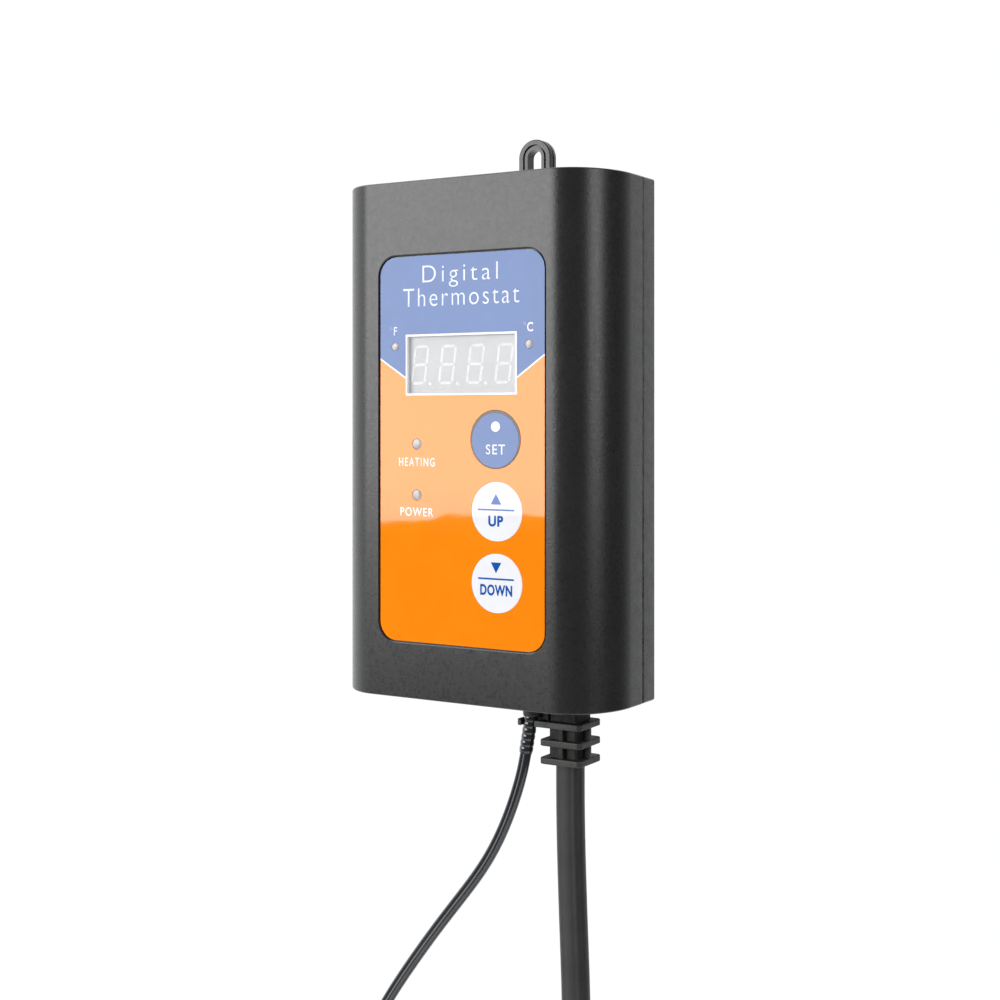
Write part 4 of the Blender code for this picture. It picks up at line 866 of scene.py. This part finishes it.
def reliefs(m):
    top, stop_low = BOTTOM_Z + WALL + GAP + 0.0070, BOTTOM_Z + WALL + GAP
    neck = box("relief_neck", (NECK, NECK, top - RELIEF_LOW), (MAINS_X, CORD_Y, (top + RELIEF_LOW) / 2))
    bevel(neck, 0.0006, 3)
    stop_size = (0.0100, 0.0100, top - stop_low - 0.0005)
    stop = box("stop", stop_size, (MAINS_X, CORD_Y, (top + stop_low - 0.0005) / 2))
    parts = [bevel(stop, 0.0005, 2)]
    for level in range(3):
        high = FIRST_Z - level * PITCH
        outline = winged_outline()
        if level:
            outline = rounded_rectangle(FLANGE_W, FLANGE_D, 0.0011, 6, (MAINS_X, CORD_Y))
        parts.append(bevel(prism_z("flange", outline, high - PLATE, high), 0.00026, 3, 50))
    low, high = RELIEF_LOW + 0.0006, FIRST_Z - 0.0006
    for side in (-1, 1):
        rib_w = (FLANGE_W - NECK) / 2 + 0.0004
        rib_x = MAINS_X + side * (FLANGE_W / 2 - 0.00012 - rib_w / 2)
        parts.append(bevel(box("rib", (rib_w, 0.0012, high - low), (rib_x, CORD_Y, (high + low) / 2)), 0.0002,
                           2))
        bump_y = CORD_Y + side * (NECK / 2 + 0.0004)
        parts.append(bevel(box("bump", (0.0012, 0.0016, high - low), (MAINS_X, bump_y, (high + low) / 2)),
                           0.0002, 2))
    web = (COLLAR[0] + 0.0016, MAINS_X - NECK / 2 - 0.0005)
    parts.append(bevel(box("web", (web[1] - web[0], 0.0060, BOTTOM_Z - FIRST_Z),
                           (sum(web) / 2, CORD_Y, (BOTTOM_Z + FIRST_Z) / 2 - 0.0003)), 0.0003, 2))
    combine(neck, parts, "UNION")
    finish(neck, m["relief"], replaces=["mains_strain_relief"], smooth=35)
    # Painted shade: the darker rubber goes on faces that face up, on faces in the neck's recess and on faces
    # just under the housing, where shade falls.
    neck.data.materials.append(m["relief_painted_shade"].material)
    for face in neck.data.polygons:
        spot = face.center
        inside = abs(spot.x - MAINS_X) < NECK / 2 + 0.0007 and abs(spot.y - CORD_Y) < NECK / 2 + 0.0012
        if face.normal.z > 0.7 or (inside and spot.z > RELIEF_LOW + 0.0001) or spot.z > FIRST_Z + 0.0002:
            face.material_index = 1

    foot = FIRST_Z + 0.0006
    collar = turned("relief_collar", [
        (0, stop_low + 0.0021), (0.0028, stop_low + 0.0021), (0.0028, stop_low), (0.0023, stop_low),
        (0.0023, foot + 0.0003), (0.0022, foot + 0.0001), (0.0020, foot), (0, foot)], 48)
    collar.location = (*COLLAR, 0)
    finish(collar, m["relief"], replaces=["probe_strain_relief"])

    ribs, radius, length = 6, 0.00162, BOOT_L + 0.0006
    pitch = length / ribs
    profile = [(0, 0), (radius - 0.0002, 0)]
    for rib in range(ribs):
        z = -rib * pitch
        profile += [(radius - 0.00004, z - pitch * 0.06), (radius, z - pitch * 0.20),
                    (radius, z - pitch * 0.56), (radius - 0.00004, z - pitch * 0.66),
                    (radius - 0.00008, z - pitch * 0.74), (radius - 0.00008, z - pitch * 0.94)]
    profile += [(radius - 0.0002, -length), (0, -length)]
    boot = turned("lead_boot", profile, 40)
    boot.rotation_euler = (0, BOOT_TILT, 0)
    boot.location = (PROBE_X + 0.0001, PROBE_Y, FIRST_Z + 0.0007)
    finish(boot, m["lead"], replaces=["probe_boot"], smooth=50)
    return boot


# ---------------------------------------------------------------- cords
def smooth_route(points, steps):
    """Points on a smooth curve through the route's own points."""
    spots = [Vector(p) for p in points]
    ends = [2 * spots[0] - spots[1]] + spots + [2 * spots[-1] - spots[-2]]
    route = []
    for i in range(1, len(ends) - 2):
        before, here, there, after = ends[i - 1:i + 3]
        for step in range(steps):
            t = step / steps
            route.append(0.5 * (2 * here + (there - before) * t
                                + (2 * before - 5 * here + 4 * there - after) * t * t
                                + (3 * here - before - 3 * there + after) * t ** 3))
    route.append(spots[-1])
    return route


def even(points, spacing):
    """The same line with evenly spaced points."""
    lengths = [0.0]
    for a, b in zip(points, points[1:]):
        lengths.append(lengths[-1] + (b - a).length)
    count = max(2, round(lengths[-1] / spacing))
    result, i = [], 0
    for k in range(count + 1):
        want = lengths[-1] * k / count
        while i < len(lengths) - 2 and lengths[i + 1] < want:
            i += 1
        span = lengths[i + 1] - lengths[i]
        result.append(points[i].lerp(points[i + 1], (want - lengths[i]) / span if span else 0))
    return result


def softened(points, rounds):
    for _ in range(rounds):
        inner = [(a + 2 * b + c) / 4 for a, b, c in zip(points, points[1:], points[2:])]
        points = [points[0]] + inner + [points[-1]]
    return points


def on_ring(centre, radius, angle, y):
    return Vector((centre.x + radius * math.cos(angle), y, centre.z + radius * math.sin(angle)))


def wound(centre, stations):
    """Points round a coil's Y axis, eased through stations of (angle in turns, radius, y)."""
    points = []
    for (t0, r0, y0), (t1, r1, y1) in zip(stations, stations[1:]):
        steps = max(1, round(abs(t1 - t0) * TURN_STEPS))
        for step in range(steps):
            s = step / steps
            ease = s * s * (3 - 2 * s)
            angle = math.tau * (t0 + (t1 - t0) * s)
            radius, y = r0 + (r1 - r0) * ease, y0 + (y1 - y0) * ease
            points.append(on_ring(centre, radius, angle, y))
    turns, radius, y = stations[-1]
    points.append(on_ring(centre, radius, math.tau * turns, y))
    return points


def forward(points, y0, y1, span):
    """The same points with their depth eased from one value to another over the first stretch."""
    moved, run = [], 0.0
    for before, point in zip([points[0]] + points, points):
        run += (point - before).length
        share = min(1.0, run / span)
        moved.append(Vector((point.x, y0 + (y1 - y0) * share * share * (3 - 2 * share), point.z)))
    return moved


def sweep(name, path, section, twist):
    """A solid of one (across, through) section along a path. twist gives the section's turn at a share."""
    side = Vector((1, 0, 0))
    rings = []
    for i, spot in enumerate(path):
        ahead = (path[min(i + 1, len(path) - 1)] - path[max(i - 1, 0)]).normalized()
        side = (side - ahead * side.dot(ahead)).normalized()
        through = ahead.cross(side)
        turn = twist(i / (len(path) - 1))
        c, s = math.cos(turn), math.sin(turn)
        rings.append([spot + side * (a * c - b * s) + through * (a * s + b * c) for a, b in section])
    return loft(name, rings)


def mains_section():
    """A flat three-core cord: three lobes side by side with a shallow groove between them on each face."""
    half, depth, groove = MAINS_D / 2, 0.00245, 0.00020
    points = []
    count = 44
    for i in range(count):
        angle = math.tau * i / count
        x = half * math.copysign(abs(math.cos(angle)) ** 0.80, math.cos(angle))
        y = depth * math.copysign(abs(math.sin(angle)) ** 0.70, math.sin(angle))
        for centre in (-0.0014, 0.0014):
            y -= math.copysign(groove * math.exp(-((x - centre) / 0.00030) ** 2), y)
        points.append((x, y))
    return points


def probe_section():
    """A twin lead: two round cores joined by a narrow waist."""
    r, offset = PROBE_D * 0.27, PROBE_D / 2 - PROBE_D * 0.27
    points = []
    for side in (1, -1):
        for step in range(13):
            angle = math.radians(-142 + 284 * step / 12)
            points.append((side * (offset + r * math.cos(angle)), side * r * math.sin(angle) * 1.18))
    return points


def mains_cord(m):
    """The mains cord meets its coil at 152 degrees and goes round it, outer layer first."""
    outer, inner = MAINS_COIL_R + MAINS_D / 2, MAINS_COIL_R - MAINS_D / 2
    front, middle, back = -0.0195, -0.0130, -0.0065
    start = 152 / 360
    stations = [(start, outer, front), (start + 0.75, outer, front), (start + 1.0, outer, middle),
                (start + 1.75, outer, middle), (start + 2.0, outer, back), (start + 2.80, outer, back),
                (start + 3.05, inner, back), (start + 3.8, inner, back), (start + 4.05, inner, middle),
                (start + 4.75, inner, middle), (start + 5.0, inner, front), (start + 6.025, inner, front)]
    coil = wound(MAINS_COIL, stations)
    lead_in = smooth_route([(MAINS_X, CORD_Y, RELIEF_LOW + 0.0008)] + MAINS_ROUTE, 4)
    bridge_in = smooth_route([lead_in[-2], lead_in[-1], (-0.0075, -0.0195, -0.2729), coil[0], coil[1]],
                             5)[5:-5]
    angles = [math.radians(degrees) for degrees in range(162, 199, 3)]
    leaving = [MAINS_COIL + inner * Vector((math.cos(angle), 0, math.sin(angle))) for angle in angles]
    lead_out = smooth_route(PLUG_ROUTE + [(PLUG_X, PLUG_Y, PLUG_RELIEF_TOP - 0.0009)], 4)
    lead_out = forward(leaving + lead_out, front, PLUG_Y, 0.0474)
    path = even(softened(lead_in[:-1] + bridge_in + coil[1:] + lead_out, 6), 0.0022)
    mains = sweep("mains_flex", path, mains_section(), lambda share: math.radians(10) * math.sin(share * 3))
    finish(mains, m["jacket"], replaces=["mains_cord", "mains_cord_end", "mains_cord_coil"],
           smooth=60,
           weighted=False)
    plug_pieces = plug(m)
    mains_tie = tie("mains_strap", math.radians(152), 0.02875, 0.02875, 0.00975, 0.0100, m, "mains_cord_tie")


def probe_cord(m):
    """The probe lead crosses the ring's front and winds clockwise inside it."""
    radii = [PROBE_COIL_R + PROBE_D, PROBE_COIL_R, PROBE_COIL_R - PROBE_D]
    columns = [PROBE_COIL.y + (i - 2) * PROBE_D for i in range(5)]
    begin = 118 / 360
    stations, turn = [(begin, radii[0], columns[0])], begin
    for layer, radius in enumerate(radii):
        order = columns if layer % 2 == 0 else columns[::-1]
        for index, y in enumerate(order):
            if (layer, index) != (0, 0):
                turn -= 0.25
                stations.append((turn, radius, y))
            turn -= 0.74
            stations.append((turn, radius, y))
    inside, leave_y = 0.0096, TIP_ROUTE[0][1]
    stations += [(turn - 0.30, inside, columns[-1]), (-15.60, inside, leave_y), (-16.02, 0.0191, leave_y)]
    coil = wound(PROBE_COIL, stations)
    lead_in = smooth_route([(0.00578, -0.0166, -0.1388)] + PROBE_ROUTE, 3)
    bridge_in = smooth_route([lead_in[-2], lead_in[-1], coil[0], coil[1]], 4)[4:-4]
    lead_out = smooth_route(TIP_ROUTE + [(0.0422, -0.0247, -0.3542)], 3)
    path = even(softened(lead_in[:-1] + bridge_in + coil[1:-1] + lead_out[1:], 6), 0.0013)
    lead = sweep("probe_lead", path, probe_section(),
                 lambda share: math.radians(28) + math.radians(50) * share)
    finish(lead, m["lead"], replaces=["probe_cord", "probe_cord_end", "probe_cord_coil"],
           smooth=60,
           weighted=False)
    probe_tie = tie("probe_strap", math.radians(-90), 0.01235, 0.01235 + 0.0068, 0.00975, 0.0090, m,
                    "probe_cord_tie")
    sleeve, tip = probe(m)


def tie(name, angle, bore_r, low, half_width, band, m, node):
    """A hook-and-loop strap round a section of the coil."""
    clearance = bore_r - math.sqrt((bore_r * math.cos(math.pi / 36)) ** 2 - (band / 2) ** 2)
    high = MAINS_COIL_R + MAINS_D
    middle = (low - clearance + high) / 2
    size = (high - low + clearance + 2 * GAP + 2 * STRAP_T, 2 * (half_width + GAP) + 2 * STRAP_T)
    strap = prism_z(name, rounded_rectangle(size[0], size[1], 0.0022, 8), -band / 2, band / 2)
    inside = rounded_rectangle(size[0] - 2 * STRAP_T, size[1] - 2 * STRAP_T, 0.0014, 8)
    hole = prism_z("hole", inside, -band, band)
    combine(strap, [hole])
    strap.matrix_world = (Matrix.Translation(MAINS_COIL) @ Matrix.Rotation(-angle, 4, "Y")
                          @ Matrix.Translation((middle, 0, 0)))
    baked(strap)
    bevel(strap, 0.00018, 2, 60)
    return finish(strap, m["strap"], replaces=[node], smooth=40)


# ---------------------------------------------------------------- plug and probe
def plug(m):
    centre = (PLUG_X, PLUG_Y, PLUG_TOP - PLUG_SIZE[2] / 2)
    back, front = PLUG_Y + PLUG_SIZE[1] / 2, PLUG_Y - PLUG_SIZE[1] / 2
    pin_z = centre[2] - PIN_DROP / 2 + 0.0020
    blade_z = pin_z + PIN_DROP
    body = bevel(box("plug_shell", PLUG_SIZE, centre), 0.0035, 6)
    cuts = []
    for side in (-1, 1):
        x = PLUG_X + side * BLADE_SPREAD
        cuts.append(box("outlet", (0.0022, 0.0120, 0.0074 if side > 0 else 0.0084), (x, back, blade_z)))
        cuts.append(box("seat", (0.0021, 0.0060, 0.0069), (x, front, blade_z)))
    cuts.append(rod("ground", 0.0026, (back - 0.0060, back + 0.002), (PLUG_X, pin_z), 32))
    cuts.append(rod("pin_seat", 0.0027, (front - 0.002, front + 0.0030), (PLUG_X, pin_z), 32))
    combine(body, cuts)
    for side in (-1, 1):
        for rib in range(5):
            z = centre[2] + (rib - 2) * 0.0035
            x = PLUG_X + side * (PLUG_SIZE[0] / 2 + 0.00035)
            groove = box("grip", (0.0014, 0.0160, 0.0014), (x, PLUG_Y, z))
            combine(body, [bevel(groove, 0.0004, 2)])
    finish(body, m["plug"], replaces=["plug_body"], smooth=35)
    relief = [(0, 0), (0.0040, 0), (0.0042, -0.0002), (0.0048, -0.0100), (0.0056, -0.0180),
              (0.0066, -PLUG_RELIEF_L),
              (0, -PLUG_RELIEF_L)]
    sleeve = turned("plug_sleeve", relief, 48)
    sleeve.location = (PLUG_X, PLUG_Y, PLUG_RELIEF_TOP)
    rings = []
    for k in range(5):
        z = PLUG_RELIEF_TOP - 0.0045 - k * 0.0042
        ring = rod("ring", 0.0090, (z - 0.0006, z + 0.0006), (PLUG_X, PLUG_Y), 48, "Z")
        core = rod("core", 0.0041 + k * 0.00042, (z - 0.002, z + 0.002), (PLUG_X, PLUG_Y), 48, "Z")
        rings.append(combine(ring, [core]))
    combine(sleeve, rings)
    finish(sleeve, m["plug"], replaces=["plug_strain_relief"], smooth=40)
    pieces = [body, sleeve]
    for name in ("plug_blade_left", "plug_blade_right", "plug_ground_pin"):
        m["brass"].on(NODES[name])
        pieces.append(NODES[name])
    return pieces


def probe(m):
    x, y, z = TIP_ROUTE[-1]
    top = z - GAP
    low = top - 0.0140
    sleeve = turned("sensor_sleeve", [
        (0, top), (0.0018, top), (0.0019, top - 0.0002), (0.0021, top - 0.0030), (0.0024, top - 0.0046),
        (0.0027, top - 0.0060), (0.0027, low + 0.0002), (0.0025, low), (0, low)], 48)
    sleeve.location = (x, y, 0)
    finish(sleeve, m["lead"], replaces=["probe_sleeve"], smooth=40)
    top, radius = low - GAP, 0.0025
    foot = top - 0.0300
    nose = arc((0, foot + radius), (radius, radius), 0, -80, 12) + [(0, foot)]
    crimp = []
    for k in range(2):
        z = top - 0.0035 - k * 0.0016
        crimp += [(radius, z), (radius - 0.00015, z - 0.0002), (radius - 0.00015, z - 0.0005),
                  (radius, z - 0.0007)]
    tube = turned("sensor_tube", [(0, top), (radius - 0.0001, top), (radius, top - 0.0001)] + crimp + nose,
                  56)
    tube.location = (x, y, 0)
    finish(tube, m["steel"], replaces=["probe_tip"], smooth=40)
    return sleeve, tube


# ---------------------------------------------------------------- carried-over pieces
def inner_pieces(m):
    """Finishes of the CAD pieces that are kept as they are."""
    kinds = {
        "board": ["control_board", "power_board"],
        "black_part": [f"plunger_{key}" for key in KEY_ZS]
                      + ["microcontroller", "board_header", "relay", "bridge_rectifier", "filter_capacitor"],
        "blue_part": ["varistor"],
        "yellow_part": ["film_capacitor"],
        "cream_part": ["fuse", "probe_socket"],
        "green_part": ["mains_terminal"],
        "steel": [f"switch_{key}" for key in KEY_ZS]
                 + [f"{board}_board_screw_{n}" for board in ("control", "power") for n in (1, 2)]
                 + [f"housing_screw_{n}" for n in (1, 2, 3, 4)],
    }
    for kind, names in kinds.items():
        m[kind].on(*[NODES[name] for name in names])


def main():
    make_camera()
    m = make_materials()
    make_world()
    make_floor()
    make_lights()
    boot = reliefs(m)
    mains_cord(m)
    probe_cord(m)
    front_housing(m)
    rear_cover(m)
    overlay(m)
    display(m)
    legends(m)
    keys(m)
    lamps(m)
    inner_pieces(m)
    bpy.context.scene.view_settings.view_transform = "Standard"


main()
